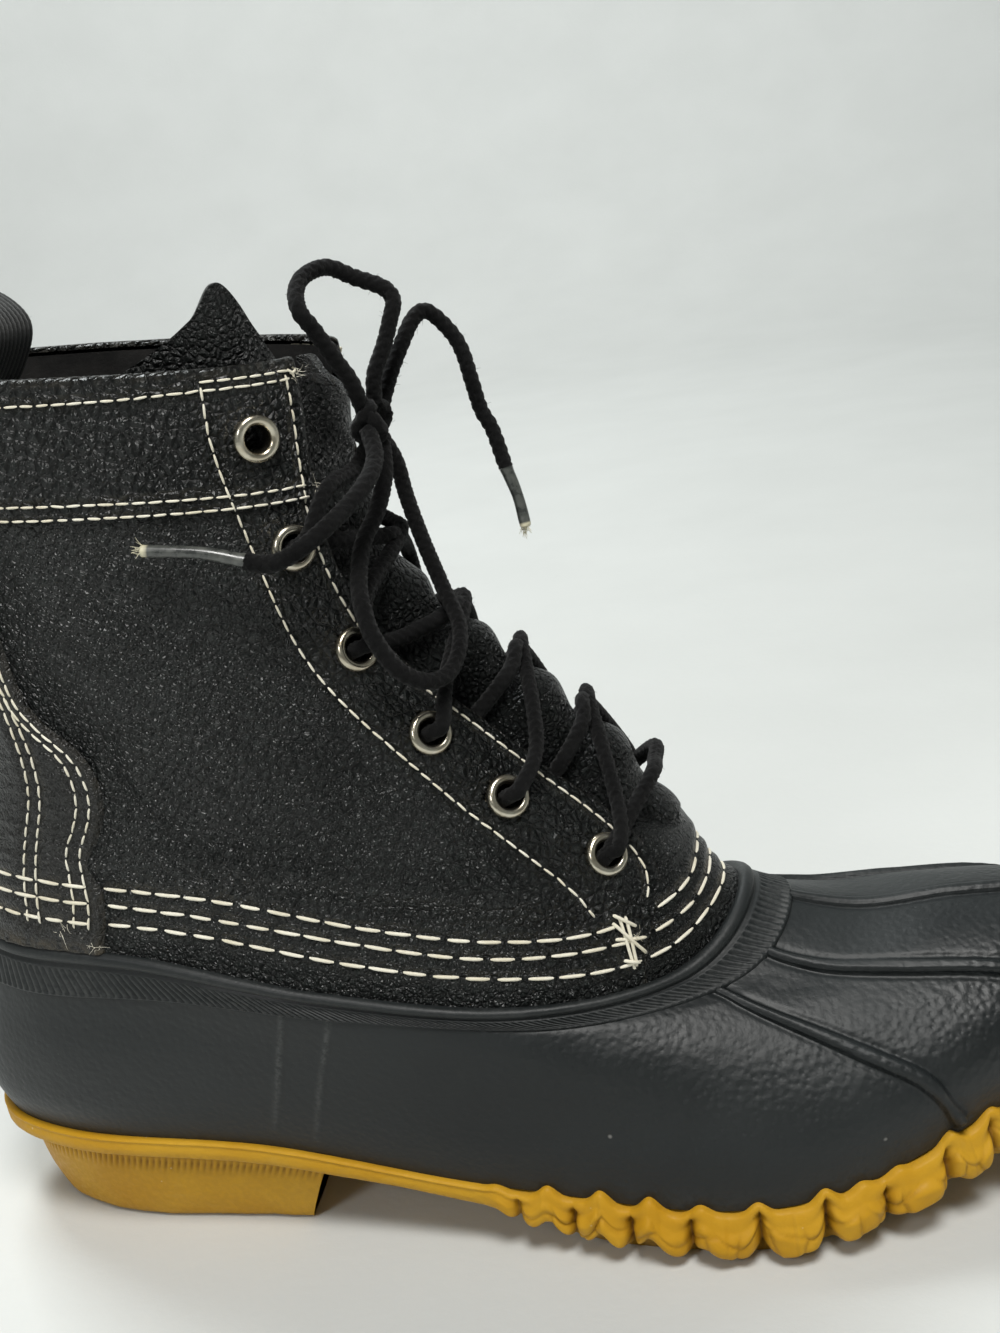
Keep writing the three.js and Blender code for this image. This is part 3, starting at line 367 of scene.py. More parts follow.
class BootForm:
    """Outer surface of the boot, as a function of the place around it and the section number.

    A place is signed: 0 at the back, 1 at the front and negative on the outer side.
    """

    SMALL_TURN, SMALL_RISE = 0.001, 0.005
    SWING_FROM = 0.35

    def __init__(self, sections: Sequence[Section]) -> None:
        """Turns the sections' shares into lengths.

        Args:
            sections: the rings from the feather line up.
        """
        columns = []
        sine = np.sin(np.pi * STATIONS[1:6])
        for index, section in enumerate(sections):
            back, front = section.back * SOLE_LENGTH, section.front * SOLE_LENGTH
            heel = math.sqrt(section.heel_round * BALL_WIDTH * (front - back) / 2)
            toe = math.sqrt(section.toe_round * BALL_WIDTH * (front - back) / 2)
            rise = np.array(section.rise)
            heights = (rise * TOPLINE_HEIGHT if index <= TOPLINE_ROW
                       else TOPLINE_HEIGHT + rise * (COLLAR_HEIGHT - TOPLINE_HEIGHT))
            columns.append([back, front, section.swing * BALL_WIDTH,
                            heel, *(np.array(section.outer) * BALL_WIDTH / sine), toe,
                            heel, *(np.array(section.inner) * BALL_WIDTH / sine), toe, *heights])
        self.lengths = np.array(columns).T
        self.slopes = tangents(np.arange(len(sections), dtype=float), self.lengths, False)

    def ring(self, row: Array) -> Array:
        """All lengths of the rings at some section numbers.

        Args:
            row: section numbers.

        Returns:
            Lengths, with the section numbers along the last axis.
        """
        i = np.clip(np.floor(row).astype(int), 0, LAST_ROW - 1)
        return blend(row - i, 1.0, self.lengths[:, i], self.slopes[:, i],
                     self.lengths[:, i + 1], self.slopes[:, i + 1])

    def point(self, at: Array, row: Array) -> Array:
        """Points of the surface.

        Args:
            at: signed places.
            row: section numbers.

        Returns:
            Points, with the coordinates along the last axis.
        """
        at, row = np.broadcast_arrays(np.asarray(at, float), np.asarray(row, float))
        shape = at.shape
        at, row = at.ravel(), np.clip(row.ravel(), 0, LAST_ROW)
        ring = self.ring(row)
        t = np.minimum(np.abs(at), 1)
        outer = at < 0
        both = np.stack([np.where(outer, ring[3:10], ring[10:17]).T, ring[17:24].T])
        slopes = tangents(STATIONS, both, True)
        i = np.clip(np.searchsorted(STATIONS, t, side="right") - 1, 0, len(STATIONS) - 2)
        width = STATIONS[i + 1] - STATIONS[i]
        rows = np.arange(len(t))
        half, height = blend((t - STATIONS[i]) / width, width, both[:, rows, i], slopes[:, rows, i],
                             both[:, rows, i + 1], slopes[:, rows, i + 1])
        x = ring[0] + (ring[1] - ring[0]) * (1 - np.cos(np.pi * t)) / 2
        swing = ring[2] * ease((t - self.SWING_FROM) / (1 - self.SWING_FROM))
        y = swing + np.where(outer, -1, 1) * half * np.sin(np.pi * t)
        return np.stack([x, y, height], -1).reshape((*shape, 3))

    def outward(self, at: Array, row: Array) -> Array:
        """Outward directions at places of the surface.

        Args:
            at: signed places.
            row: section numbers.

        Returns:
            Directions of length one.
        """
        at, row = np.broadcast_arrays(np.asarray(at, float), np.asarray(row, float))
        around = turn(at)
        beyond, before = signed(around + self.SMALL_TURN), signed(around - self.SMALL_TURN)
        above, below = np.minimum(row + self.SMALL_RISE, LAST_ROW), np.maximum(row - self.SMALL_RISE, 0)
        along = self.point(beyond, row) - self.point(before, row)
        return unit(np.cross(along, self.point(at, above) - self.point(at, below)))

    def off(self, at: Array, row: Array, distance: Array) -> Array:
        """Points that lie a distance outside the surface, or inside it when negative."""
        return self.point(at, row) + self.outward(at, row) * np.asarray(distance, float)[..., None]

    def walk(self, at: Array, start: float, distance: float | Array) -> Array:
        """Section numbers reached by a walk over the surface.

        Args:
            at: places around the boot.
            start: section number where each walk starts.
            distance: length of the walk, negative to go down.

        Returns:
            Section numbers.
        """
        at = np.atleast_1d(np.asarray(at, float))
        distance = np.broadcast_to(np.asarray(distance, float), at.shape)
        rows = np.linspace(0, LAST_ROW, 20 * LAST_ROW + 1)
        runs = [run_along(line) for line in self.point(at[:, None], rows[None])]
        return np.array([np.interp(np.interp(start, rows, run) + go, run, rows)
                         for run, go in zip(runs, distance)])


def signed(around: Array) -> Array:
    """Signed place of a share of the way round, which starts at the back over the outer side."""
    share = np.mod(around, 1)
    return np.where(share <= 0.5, -2 * share, 2 - 2 * share)


def turn(at: Array) -> Array:
    """Share of the way round for a signed place."""
    return np.where(at <= 0, -at / 2, 1 - at / 2)


FORM = BootForm(SECTIONS)


def place_of(along: Array) -> Array:
    """Place around the boot for a share of the sole's length."""
    return np.arccos(1 - 2 * np.clip(along, 0, 1)) / np.pi


def even_places(density: Callable[[Array], Array], count: int, row: float, closed: bool = True) -> Array:
    """Places around the boot, close together where the detail is fine.

    Args:
        density: wanted columns per millimetre for signed places.
        count: how many places.
        row: section number along which lengths are measured.
        closed: whether the last place is left out because it is the first.

    Returns:
        Shares of the way round.
    """
    around = np.linspace(0, 1, 4001)
    steps = np.linalg.norm(np.diff(FORM.point(signed(around), row), axis=0), axis=-1)
    middle = signed((around[1:] + around[:-1]) / 2)
    weight = np.concatenate([[0], np.cumsum(steps * density(middle))])
    return np.interp(np.linspace(0, weight[-1], count, endpoint=not closed), weight, around)


def smooth_line(points: Array, step: float) -> Array:
    """Smooth curve through points, with even steps along it.

    Args:
        points: the points it passes.
        step: wanted distance between the points of the result.

    Returns:
        Points along the curve.
    """
    points = np.asarray(points, float)
    before = np.vstack([2 * points[0] - points[1], points[:-1]])
    after = np.vstack([points[1:], 2 * points[-1] - points[-2]])
    share = np.linspace(0, 1, 24, endpoint=False)[:, None]
    runs = []
    for i in range(len(points) - 1):
        a, b, c = before[i], points[i], points[i + 1]
        d = after[i + 1]
        runs.append(0.5 * (2 * b + (c - a) * share + (2 * a - 5 * b + 4 * c - d) * share**2
                           + (3 * b - a - 3 * c + d) * share**3))
    return even_line(np.vstack([*runs, points[-1:]]), step, 1)


def even_line(line: Array, step: float, least: int = 2) -> Array:
    """The same line with even steps.

    Args:
        line: points along it.
        step: wanted distance between the points of the result.
        least: least number of steps.

    Returns:
        Points along the line.
    """
    length = run_along(line)
    goal = np.linspace(0, length[-1], max(int(round(length[-1] / step)), least) + 1)
    return np.stack([np.interp(goal, length, column) for column in line.T], -1)


def traced(path: Path, step: float) -> Array:
    """Smooth line over the boot's form through places and section numbers."""
    keys = np.array(path)
    return smooth_line(FORM.point(keys[:, 0], keys[:, 1]), step)


def length_of(line: Array) -> float:
    """Length of a line of points."""
    return float(run_along(line)[-1])


@dataclass
class Surface:
    """Points, four-sided faces and named masks, in millimetres of the boot's table frame."""

    points: Array
    faces: Array
    masks: dict[str, Array] = field(default_factory=dict)

    @classmethod
    def grid(cls, points: Array, masks: dict[str, Array] | None = None, wrap: bool = False,
             outward: Array | None = None, keep: Array | None = None) -> "Surface":
        """Surface over a grid of points.

        Args:
            points: rows and columns of points.
            masks: values for each point.
            wrap: whether the last column joins the first.
            outward: directions that the faces are to look, for each point.
            keep: which faces are kept, by row and column.

        Returns:
            The surface.
        """
        rows, columns = points.shape[:2]
        number = np.arange(rows * columns).reshape(rows, columns)
        if wrap:
            number = np.hstack([number, number[:, :1]])
        quads = np.stack([number[:-1, :-1], number[:-1, 1:], number[1:, 1:], number[1:, :-1]], -1)
        flat = points.reshape(-1, 3)
        if keep is not None:
            quads = quads[keep[:, :quads.shape[1]]]
        quads = quads.reshape(-1, 4)
        if outward is not None:
            across = flat[quads[:, 2]] - flat[quads[:, 0]]
            other = flat[quads[:, 3]] - flat[quads[:, 1]]
            facing = np.einsum("ij,ij->i", np.cross(across, other), outward.reshape(-1, 3)[quads[:, 0]])
            if facing.sum() < 0:
                quads = quads[:, ::-1]
        return cls(flat, quads, {k: np.asarray(v, float).reshape(-1) for k, v in (masks or {}).items()})

    @classmethod
    def raised(cls, at: Array, row: Array, height: Array, masks: dict[str, Array] | None = None,
               wrap: bool = False, inward: bool = False) -> "Surface":
        """Surface at a height over the boot's form.

        Args:
            at: signed places, by row and column.
            row: section numbers.
            height: distance from the form, negative inside.
            masks: values for each point.
            wrap: whether the last column joins the first.
            inward: whether its faces look into the boot.

        Returns:
            The surface.
        """
        outward = FORM.outward(at, row)
        points = FORM.point(at, row) + outward * np.asarray(height, float)[..., None]
        return cls.grid(points, masks, wrap, -outward if inward else outward)

    @classmethod
    def joined(cls, parts: Iterable["Surface"]) -> "Surface":
        """One surface from several.

        Args:
            parts: the surfaces, of which a missing mask counts as zero.

        Returns:
            The surface.
        """
        parts = list(parts)
        names = {name for part in parts for name in part.masks}
        starts = np.concatenate([[0], np.cumsum([len(part.points) for part in parts])[:-1]])
        return cls(
            np.vstack([part.points for part in parts]),
            np.vstack([part.faces + start for part, start in zip(parts, starts)]),
            {name: np.concatenate([part.masks.get(name, np.zeros(len(part.points))) for part in parts])
             for name in names},
        )

    def to_object(self, name: str, material: bpy.types.Material, slot: str,
                  replaces: Sequence[str] = ()) -> bpy.types.Object:
        """Blender object of this surface, riding on the boot's one body.

        Args:
            name: the piece's name.
            material: its finish.
            slot: material slot of the record; not used.
            replaces: solids that it stands for.

        Returns:
            The object.
        """
        mesh = bpy.data.meshes.new(name)
        placed = ((self.points - (HEEL_CENTRE, 0, 0)) * MM).astype(np.float32)
        mesh.vertices.add(len(placed))
        mesh.vertices.foreach_set("co", placed.ravel())
        mesh.loops.add(self.faces.size)
        mesh.loops.foreach_set("vertex_index", self.faces.astype(np.int32).ravel())
        mesh.polygons.add(len(self.faces))
        mesh.polygons.foreach_set("loop_start", np.arange(0, self.faces.size, 4, dtype=np.int32))
        mesh.update(calc_edges=True)
        mesh.validate()
        mesh.shade_smooth()
        for mask, values in self.masks.items():
            layer = mesh.attributes.new(mask, "FLOAT", "POINT")
            layer.data.foreach_set("value", values.astype(np.float32))
        mesh.materials.append(material)
        made = bpy.data.objects.new(name, mesh)
        bpy.context.scene.collection.objects.link(made)
        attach(made, "root")
        if replaces:
            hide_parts(*replaces)
        LOG.info("%s: %d faces", name, len(self.faces))
        return made


def frames_along(line: Array) -> tuple[Array, Array, Array]:
    """Frames that follow a line without twisting.

    Args:
        line: points along the line.

    Returns:
        Directions along it and two across it, for each point.
    """
    ahead = unit(np.gradient(line, axis=0))
    side = np.cross(ahead[0], (0.0, 0.0, 1.0))
    if np.linalg.norm(side) < 0.2:
        side = np.cross(ahead[0], (0.0, 1.0, 0.0))
    sides = [unit(side)]
    for direction in ahead[1:]:
        last = sides[-1]
        sides.append(unit(last - direction * float(last @ direction)))
    across = np.array(sides)
    return ahead, across, np.cross(ahead, across)


def tube(line: Array, radius: float | Array, sides: int,
         relief: Callable[[Array, Array], Array] | None = None, flatten: float = 1.0) -> Surface:
    """Round bar along a line.

    Args:
        line: its middle.
        radius: one radius, or one for each point of the line.
        sides: points around it.
        relief: height over the radius for lengths along and angles around it.
        flatten: share of the radius along the frame's second direction.

    Returns:
        The open tube.
    """
    ahead, across, up = frames_along(line)
    angle = np.linspace(0, 2 * np.pi, sides, endpoint=False)[None]
    size = (len(line), 1)
    reach = np.broadcast_to(np.asarray(radius, float).reshape(-1, 1), size) + np.zeros_like(angle)
    if relief is not None:
        reach = reach + relief(run_along(line)[:, None], angle)
    outward = across[:, None] * np.cos(angle)[..., None] + flatten * up[:, None] * np.sin(angle)[..., None]
    return Surface.grid(line[:, None] + outward * reach[..., None], wrap=True, outward=outward)


def nearest(points: Array, marks: Array) -> Array:
    """Distance from each point to the nearest of some marks.

    Args:
        points: places, with the coordinates along the last axis.
        marks: a list of places.

    Returns:
        One distance for each place.
    """
    tree = KDTree(len(marks))
    for index, mark in enumerate(marks):
        tree.insert(mark, index)
    tree.balance()
    shape = points.shape[:-1]
    return np.array([tree.find(p)[2] for p in points.reshape(-1, 3)]).reshape(shape)


@dataclass(frozen=True)
class Crease:
    """A soft trough with a ridge on both sides."""

    path: Path
    depth: float
    width: float

    def relief(self, at: Array, row: Array, points: Array) -> Array:
        """Height that the crease gives at some places.

        Args:
            at: signed places; not used.
            row: section numbers; not used.
            points: the same places in millimetres.

        Returns:
            Heights, negative in the trough.
        """
        line = traced(self.path, 1.5)
        low, high = line.min(0) - 4 * self.width, line.max(0) + 4 * self.width
        close = np.all((points > low) & (points < high), axis=-1)
        made = np.zeros(points.shape[:-1])
        if not close.any():
            return made
        gap = np.linalg.norm(points[close][:, None] - line[None], axis=-1)
        index = gap.argmin(1)
        distance = gap.min(1) / self.width
        fade = np.sin(np.pi * np.clip((index + 0.5) / len(line), 0, 1)) ** 0.6
        made[close] = self.depth * fade * (0.5 * bell(distance - 1.7, 1) - bell(distance, 1))
        return made


@dataclass(frozen=True)
class Thread:
    """Size of a row's stitches: their pitch, their thread's radius and the share of the pitch they fill."""

    pitch: float
    radius: float
    fill: float


THIN = Thread(3.5, 0.29, 0.8)
HEEL_THIN = Thread(3.5, 0.3, 0.8)
THICK = Thread(6.9, 0.42, 0.79)


@dataclass(frozen=True)
class Seam:
    """One row of stitches."""

    path: Path
    thread: Thread

    def places(self, step: float) -> tuple[Array, Array]:
        """Places and section numbers along the row.

        Args:
            step: about the distance between them, millimetres.

        Returns:
            Signed places and section numbers.
        """
        scale = np.array([100, 10])
        line = smooth_line(np.array(self.path) * scale, step) / scale
        return line[:, 0], line[:, 1]


def sewn_in(form: Array, seams: Sequence[Seam], dent: float, swell: float, away: float,
            width: float) -> Array:
    """Relief of leather that its stitches pull in.

    Args:
        form: places of the leather.
        seams: its rows of stitches.
        dent: depth along each row.
        swell: height of the leather beside it.
        away: distance of the swell from the row.
        width: width of the swell.

    Returns:
        One height for each place.
    """
    gap = nearest(form, np.vstack([stitch_line(seam) for seam in seams]))
    return swell * bell(gap - away, width) - dent * bell(gap, 1.1)


# Finishes


class Tree:
    """Short ways to fill a node tree."""

    def __init__(self, tree: bpy.types.NodeTree) -> None:
        """Keeps the tree."""
        self.tree = tree

    def feed(self, socket: Socket, value: Value) -> None:
        """Gives an input its value.

        Args:
            socket: the input.
            value: a constant, or the output that it is linked to.
        """
        if isinstance(value, Socket):
            self.tree.links.new(value, socket)
        else:
            socket.default_value = value

    def add(self, kind: str, settings: dict | None = None, **inputs: Value) -> bpy.types.Node:
        """Adds a node.

        Args:
            kind: the node's type without its prefix.
            settings: its properties.
            inputs: values for its inputs, by name with underscores for spaces, or by number after an i.

        Returns:
            The node.
        """
        node = self.tree.nodes.new(kind if kind.startswith("Node") else f"ShaderNode{kind}")
        for key, value in (settings or {}).items():
            setattr(node, key, value)
        for key, value in inputs.items():
            numbered = key[0] == "i" and key[1:].isdigit()
            self.feed(node.inputs[int(key[1:]) if numbered else key.replace("_", " ")], value)
        return node

    def maths(self, operation: str, first: Value, second: Value) -> Socket:
        """Result of a sum on two values."""
        return self.add("Math", {"operation": operation}, i0=first, i1=second).outputs[0]

    def times(self, first: Value, second: Value) -> Socket:
        """Product of two values."""
        return self.maths("MULTIPLY", first, second)

    def plus(self, first: Value, second: Value) -> Socket:
        """Sum of two values."""
        return self.maths("ADD", first, second)

    def spread(self, value: Value, low: Value, high: Value, to_low: float = 0.0,
               to_high: float = 1.0) -> Socket:
        """Value spread from one range to another, held at its ends.

        Args:
            value: the value.
            low: start of its range.
            high: end of its range.
            to_low: what the start becomes.
            to_high: what the end becomes.

        Returns:
            The spread value.
        """
        node = self.add("MapRange", {"clamp": True}, Value=value, From_Min=low, From_Max=high,
                        To_Min=to_low, To_Max=to_high)
        return node.outputs["Result"]

    def mix(self, factor: Value, first: Value, second: Value) -> Socket:
        """Colour between two colours."""
        return self.add("Mix", {"data_type": "RGBA"}, i0=factor, i6=first, i7=second).outputs[2]

    def noise(self, vector: Socket, scale: Value, detail: float, rough: float = 0.5) -> bpy.types.Node:
        """Cloudy noise as a node, with a value and a colour."""
        return self.add("TexNoise", None, Vector=vector, Scale=scale, Detail=detail, Roughness=rough)

    def mask(self, name: str) -> Socket:
        """A mask of the mesh."""
        return self.add("Attribute", {"attribute_type": "GEOMETRY", "attribute_name": name}).outputs["Fac"]


class Effect(Enum):
    """Effects that several finishes share."""

    GRAIN = "pebble_grain"
    SCUFF = "scuffs"
    DUST = "dust_specks"
    FIBRE = "loose_fibres"


class Effects:
    """The shared effects, each built once as a node group that puts out values."""

    BEND_SCALE, BEND_REACH = 160.0, 0.0009
    PEBBLE_RANGE, PEBBLE_POWER, WRINKLE_SCALE = (0.01, 0.38), 0.7, 3.1
    STREAK_STRETCH, PATCH_SCALE = (1.0, 1.0, 3.5), 22.0
    SCUFF_START, SCUFF_SPREAD, SCUFF_SOFTNESS = 0.62, 0.45, 0.16
    SPECK_RANGE = (0.06, 0.11)

    def __init__(self) -> None:
        """Builds every group."""
        self.groups: dict[Effect, bpy.types.NodeTree] = {}
        self.make(Effect.GRAIN, {"Pebbles": 500.0, "Wrinkles": 0.3}, ("Height", "Crowns"), self.grain)
        self.make(Effect.SCUFF, {"Streaks": 60.0, "Spread": 0.5}, ("Mask",), self.scuffs)
        self.make(Effect.DUST, {"Specks": 260.0, "Share": 0.1}, ("Mask",), self.dust)
        self.make(Effect.FIBRE, {"Fibres": 1500.0}, ("Height",), self.fibres)

    def make(self, effect: Effect, inputs: dict[str, float], outputs: Sequence[str], fill: Callable) -> None:
        """New node group with a place input, value inputs and value outputs.

        Args:
            effect: which effect it is.
            inputs: value inputs with their defaults.
            outputs: value outputs.
            fill: builds its nodes and returns a socket for each output.
        """
        group = bpy.data.node_groups.new(effect.value, "ShaderNodeTree")
        group.interface.new_socket("Place", in_out="INPUT", socket_type="NodeSocketVector")
        for key, value in inputs.items():
            socket = group.interface.new_socket(key, in_out="INPUT", socket_type="NodeSocketFloat")
            socket.default_value = value
        for key in outputs:
            group.interface.new_socket(key, in_out="OUTPUT", socket_type="NodeSocketFloat")
        tree = Tree(group)
        start, end = tree.add("NodeGroupInput"), tree.add("NodeGroupOutput")
        for key, socket in zip(outputs, fill(tree, start.outputs)):
            tree.feed(end.inputs[key], socket)
        self.groups[effect] = group

    def grain(self, tree: Tree, given: Given) -> tuple[Socket, ...]:
        """Pebbles with fine wrinkles over them, as in full-grain leather.

        Args:
            tree: the group's tree.
            given: the group's inputs.

        Returns:
            Height, and the pebbles' crowns.
        """
        place, pebbles = given["Place"], given["Pebbles"]
        bend = tree.noise(place, self.BEND_SCALE, 2.0)
        shifted = tree.add("VectorMath", {"operation": "MULTIPLY_ADD"}, i0=bend.outputs[1],
                           i1=(self.BEND_REACH,) * 3, i2=place)
        cell = tree.add("TexVoronoi", {"feature": "DISTANCE_TO_EDGE"}, Vector=shifted.outputs[0],
                        Scale=pebbles)
        plump = tree.spread(cell.outputs["Distance"], *self.PEBBLE_RANGE)
        crown = tree.maths("POWER", plump, self.PEBBLE_POWER)
        fine = tree.noise(place, tree.times(pebbles, self.WRINKLE_SCALE), 3.0)
        return tree.plus(crown, tree.times(fine.outputs[0], given["Wrinkles"])), crown

    def scuffs(self, tree: Tree, given: Given) -> tuple[Socket, ...]:
        """Broken pale streaks and rubbed patches.

        Args:
            tree: the group's tree.
            given: the group's inputs.

        Returns:
            Their mask.
        """
        stretched = tree.add("VectorMath", {"operation": "MULTIPLY"}, i0=given["Place"],
                             i1=self.STREAK_STRETCH)
        broad = tree.noise(given["Place"], self.PATCH_SCALE, 2.0)
        fine = tree.noise(stretched.outputs[0], given["Streaks"], 6.0)
        both = tree.times(broad.outputs[0], fine.outputs[0])
        low = tree.maths("SUBTRACT", self.SCUFF_START, tree.times(given["Spread"], self.SCUFF_SPREAD))
        return (tree.spread(both, low, tree.plus(low, self.SCUFF_SOFTNESS)),)

    def dust(self, tree: Tree, given: Given) -> tuple[Socket, ...]:
        """Small pale specks.

        Args:
            tree: the group's tree.
            given: the group's inputs.

        Returns:
            Their mask.
        """
        cell = tree.add("TexVoronoi", {"feature": "F1"}, Vector=given["Place"], Scale=given["Specks"],
                        Randomness=1.0)
        pick = tree.add("SeparateColor", None, Color=cell.outputs["Color"])
        chosen = tree.maths("LESS_THAN", pick.outputs[0], given["Share"])
        return (tree.times(tree.spread(cell.outputs["Distance"], *self.SPECK_RANGE, 1.0, 0.0), chosen),)

    @staticmethod
    def fibres(tree: Tree, given: Given) -> tuple[Socket, ...]:
        """Felted fibres of thread, lace and raw leather."""
        return (tree.noise(given["Place"], given["Fibres"], 5.0, 0.7).outputs[0],)


class Paint(Tree):
    """Node tree of one material, with its shader and the place on the object."""

    def __init__(self, name: str, constants: dict, effects: Effects) -> None:
        """Makes the material and sets its shader's constants.

        Args:
            name: the material's name.
            constants: inputs of its shader that nothing varies.
            effects: the shared effects.
        """
        self.material = bpy.data.materials.new(name)
        self.material.use_nodes = True
        super().__init__(self.material.node_tree)
        self.effects = effects
        self.shader = self.tree.nodes["Principled BSDF"]
        for key, value in constants.items():
            self.shader.inputs[key].default_value = value
        self.place = self.add("TexCoord").outputs["Object"]

    def cloud(self, scale: float, detail: float = 3.0) -> Socket:
        """Cloudy noise over the object, 0 to 1."""
        return self.noise(self.place, scale, detail, 0.55).outputs[0]

    def effect(self, effect: Effect, **inputs: Value) -> bpy.types.Node:
        """A shared effect, placed in this tree."""
        return self.add("Group", {"node_tree": self.effects.groups[effect]}, Place=self.place, **inputs)

    def coat(self, tone: Socket, rough: Socket | None = None) -> None:
        """Gives the shader its colour and its roughness.

        Args:
            tone: the colour.
            rough: the roughness, or none where it is a constant.
        """
        self.feed(self.shader.inputs["Base Color"], tone)
        if rough is not None:
            self.feed(self.shader.inputs["Roughness"], rough)

    def bump(self, height: Socket, distance: float, strength: float, under: Socket | None = None) -> Socket:
        """Bump from a height, over another bump where one is given.

        Args:
            height: the height.
            distance: height of the relief, metres.
            strength: how much of it shows.
            under: normal that it is laid over.

        Returns:
            The new normal.
        """
        node = self.add("Bump", None, Height=height, Distance=distance, Strength=strength)
        if under is not None:
            self.feed(node.inputs["Normal"], under)
        self.feed(self.shader.inputs["Normal"], node.outputs["Normal"])
        return node.outputs["Normal"]


@dataclass(frozen=True)
class Finish:
    """Base of every finish: its name and the constants of its shader."""

    name: str
    constants: dict

    def build(self, effects: Effects) -> bpy.types.Material:
        """Makes the material.

        Args:
            effects: the shared effects.

        Returns:
            The material.
        """
        paint = Paint(self.name, self.constants, effects)
        self.lay(paint)
        return paint.material

    def lay(self, paint: Paint) -> None:
        """Fills the material's tree, which each finish does in its own way."""
        raise NotImplementedError


@dataclass(frozen=True)
class LeatherFinish(Finish):
    """Black full-grain leather, pebbled where its grain mask is high."""

    base: Colour = (0.0014, 0.0018, 0.0017, 1)
    # Crown: colour of the pebbles' tops, a painted highlight paler than the base.
    crown: Colour = (0.0130, 0.0160, 0.0150, 1)
    wear: Colour = (0.06, 0.05, 0.034, 1)
    scuffed: Colour = (0.025, 0.028, 0.026, 1)
    pebbles: float = 450.0
    pores: float = 2.1
    relief: float = 0.0016

    def lay(self, paint: Paint) -> None:
        """Pebbles and pores, crowns painted paler as a painted highlight, faint scuffs and rubbed edges.

        Args:
            paint: the material's tree.
        """
        grain = paint.effect(Effect.GRAIN, Pebbles=self.pebbles, Wrinkles=0.18)
        fine = paint.effect(Effect.GRAIN, Pebbles=self.pebbles * self.pores, Wrinkles=0.3)
        cloud = paint.cloud(38.0)
        scuff = paint.effect(Effect.SCUFF, Streaks=150.0, Spread=0.12).outputs["Mask"]
        worn = paint.times(paint.mask("wear"), paint.spread(paint.cloud(420.0, 4.0), 0.38, 0.6))
        # Painted highlight: the pebbles' crowns take the paler crown colour, more in some clouds than in
        # others.
        shown = paint.times(grain.outputs["Crowns"], paint.spread(cloud, 0.3, 0.7, 0.45, 1.0))
        tone = paint.mix(shown, self.base, self.crown)
        tone = paint.mix(paint.times(scuff, 0.25), tone, self.scuffed)
        rough = paint.plus(paint.spread(cloud, 0.3, 0.72, 0.27, 0.42), paint.times(worn, 0.3))
        paint.coat(paint.mix(worn, tone, self.wear), rough)
        coarse = paint.times(grain.outputs["Height"], paint.mask("grain"))
        paint.bump(paint.plus(coarse, paint.times(fine.outputs["Height"], 0.28)), self.relief, 1.0)


@dataclass(frozen=True)
class RubberFinish(Finish):
    """Matte black moulded rubber with dusty hollows and faint rubbed streaks."""

    base: Colour = (0.0072, 0.0092, 0.0098, 1)
    cloudy: Colour = (0.0145, 0.0175, 0.0180, 1)
    scuffed: Colour = (0.028, 0.032, 0.032, 1)
    rubbed: Colour = (0.12, 0.122, 0.118, 1)
    dusty: Colour = (0.3, 0.29, 0.27, 1)

    def lay(self, paint: Paint) -> None:
        """Clouds, scuffs, rubbed lines and specks over a pebbled skin with sharp ribs.

        Args:
            paint: the material's tree.
        """
        cloud, fine = paint.cloud(26.0), paint.cloud(900.0, 4.0)
        scuff = paint.effect(Effect.SCUFF, Streaks=55.0, Spread=0.42).outputs["Mask"]
        dust = paint.effect(Effect.DUST, Specks=150.0, Share=0.05).outputs["Mask"]
        rubbed = paint.times(paint.mask("wear"), paint.spread(fine, 0.35, 0.62))
        tone = paint.mix(paint.spread(cloud, 0.3, 0.75), self.base, self.cloudy)
        tone = paint.mix(paint.times(scuff, 0.35), tone, self.scuffed)
        tone = paint.mix(rubbed, tone, self.rubbed)
        tone = paint.mix(paint.times(dust, 0.6), tone, self.dusty)
        paint.coat(tone, paint.plus(paint.spread(cloud, 0.3, 0.72, 0.42, 0.56), paint.times(rubbed, 0.3)))
        skin = paint.add("TexVoronoi", {"feature": "SMOOTH_F1"}, Vector=paint.place, Scale=640.0)
        pebbled = paint.times(skin.outputs["Distance"], paint.mask("grain"))
        normal = paint.bump(paint.plus(pebbled, paint.times(fine, 0.3)), 0.00038, 0.8)
        paint.bump(paint.spread(paint.mask("crest"), 0.42, 0.62), 0.0007, 0.8, normal)


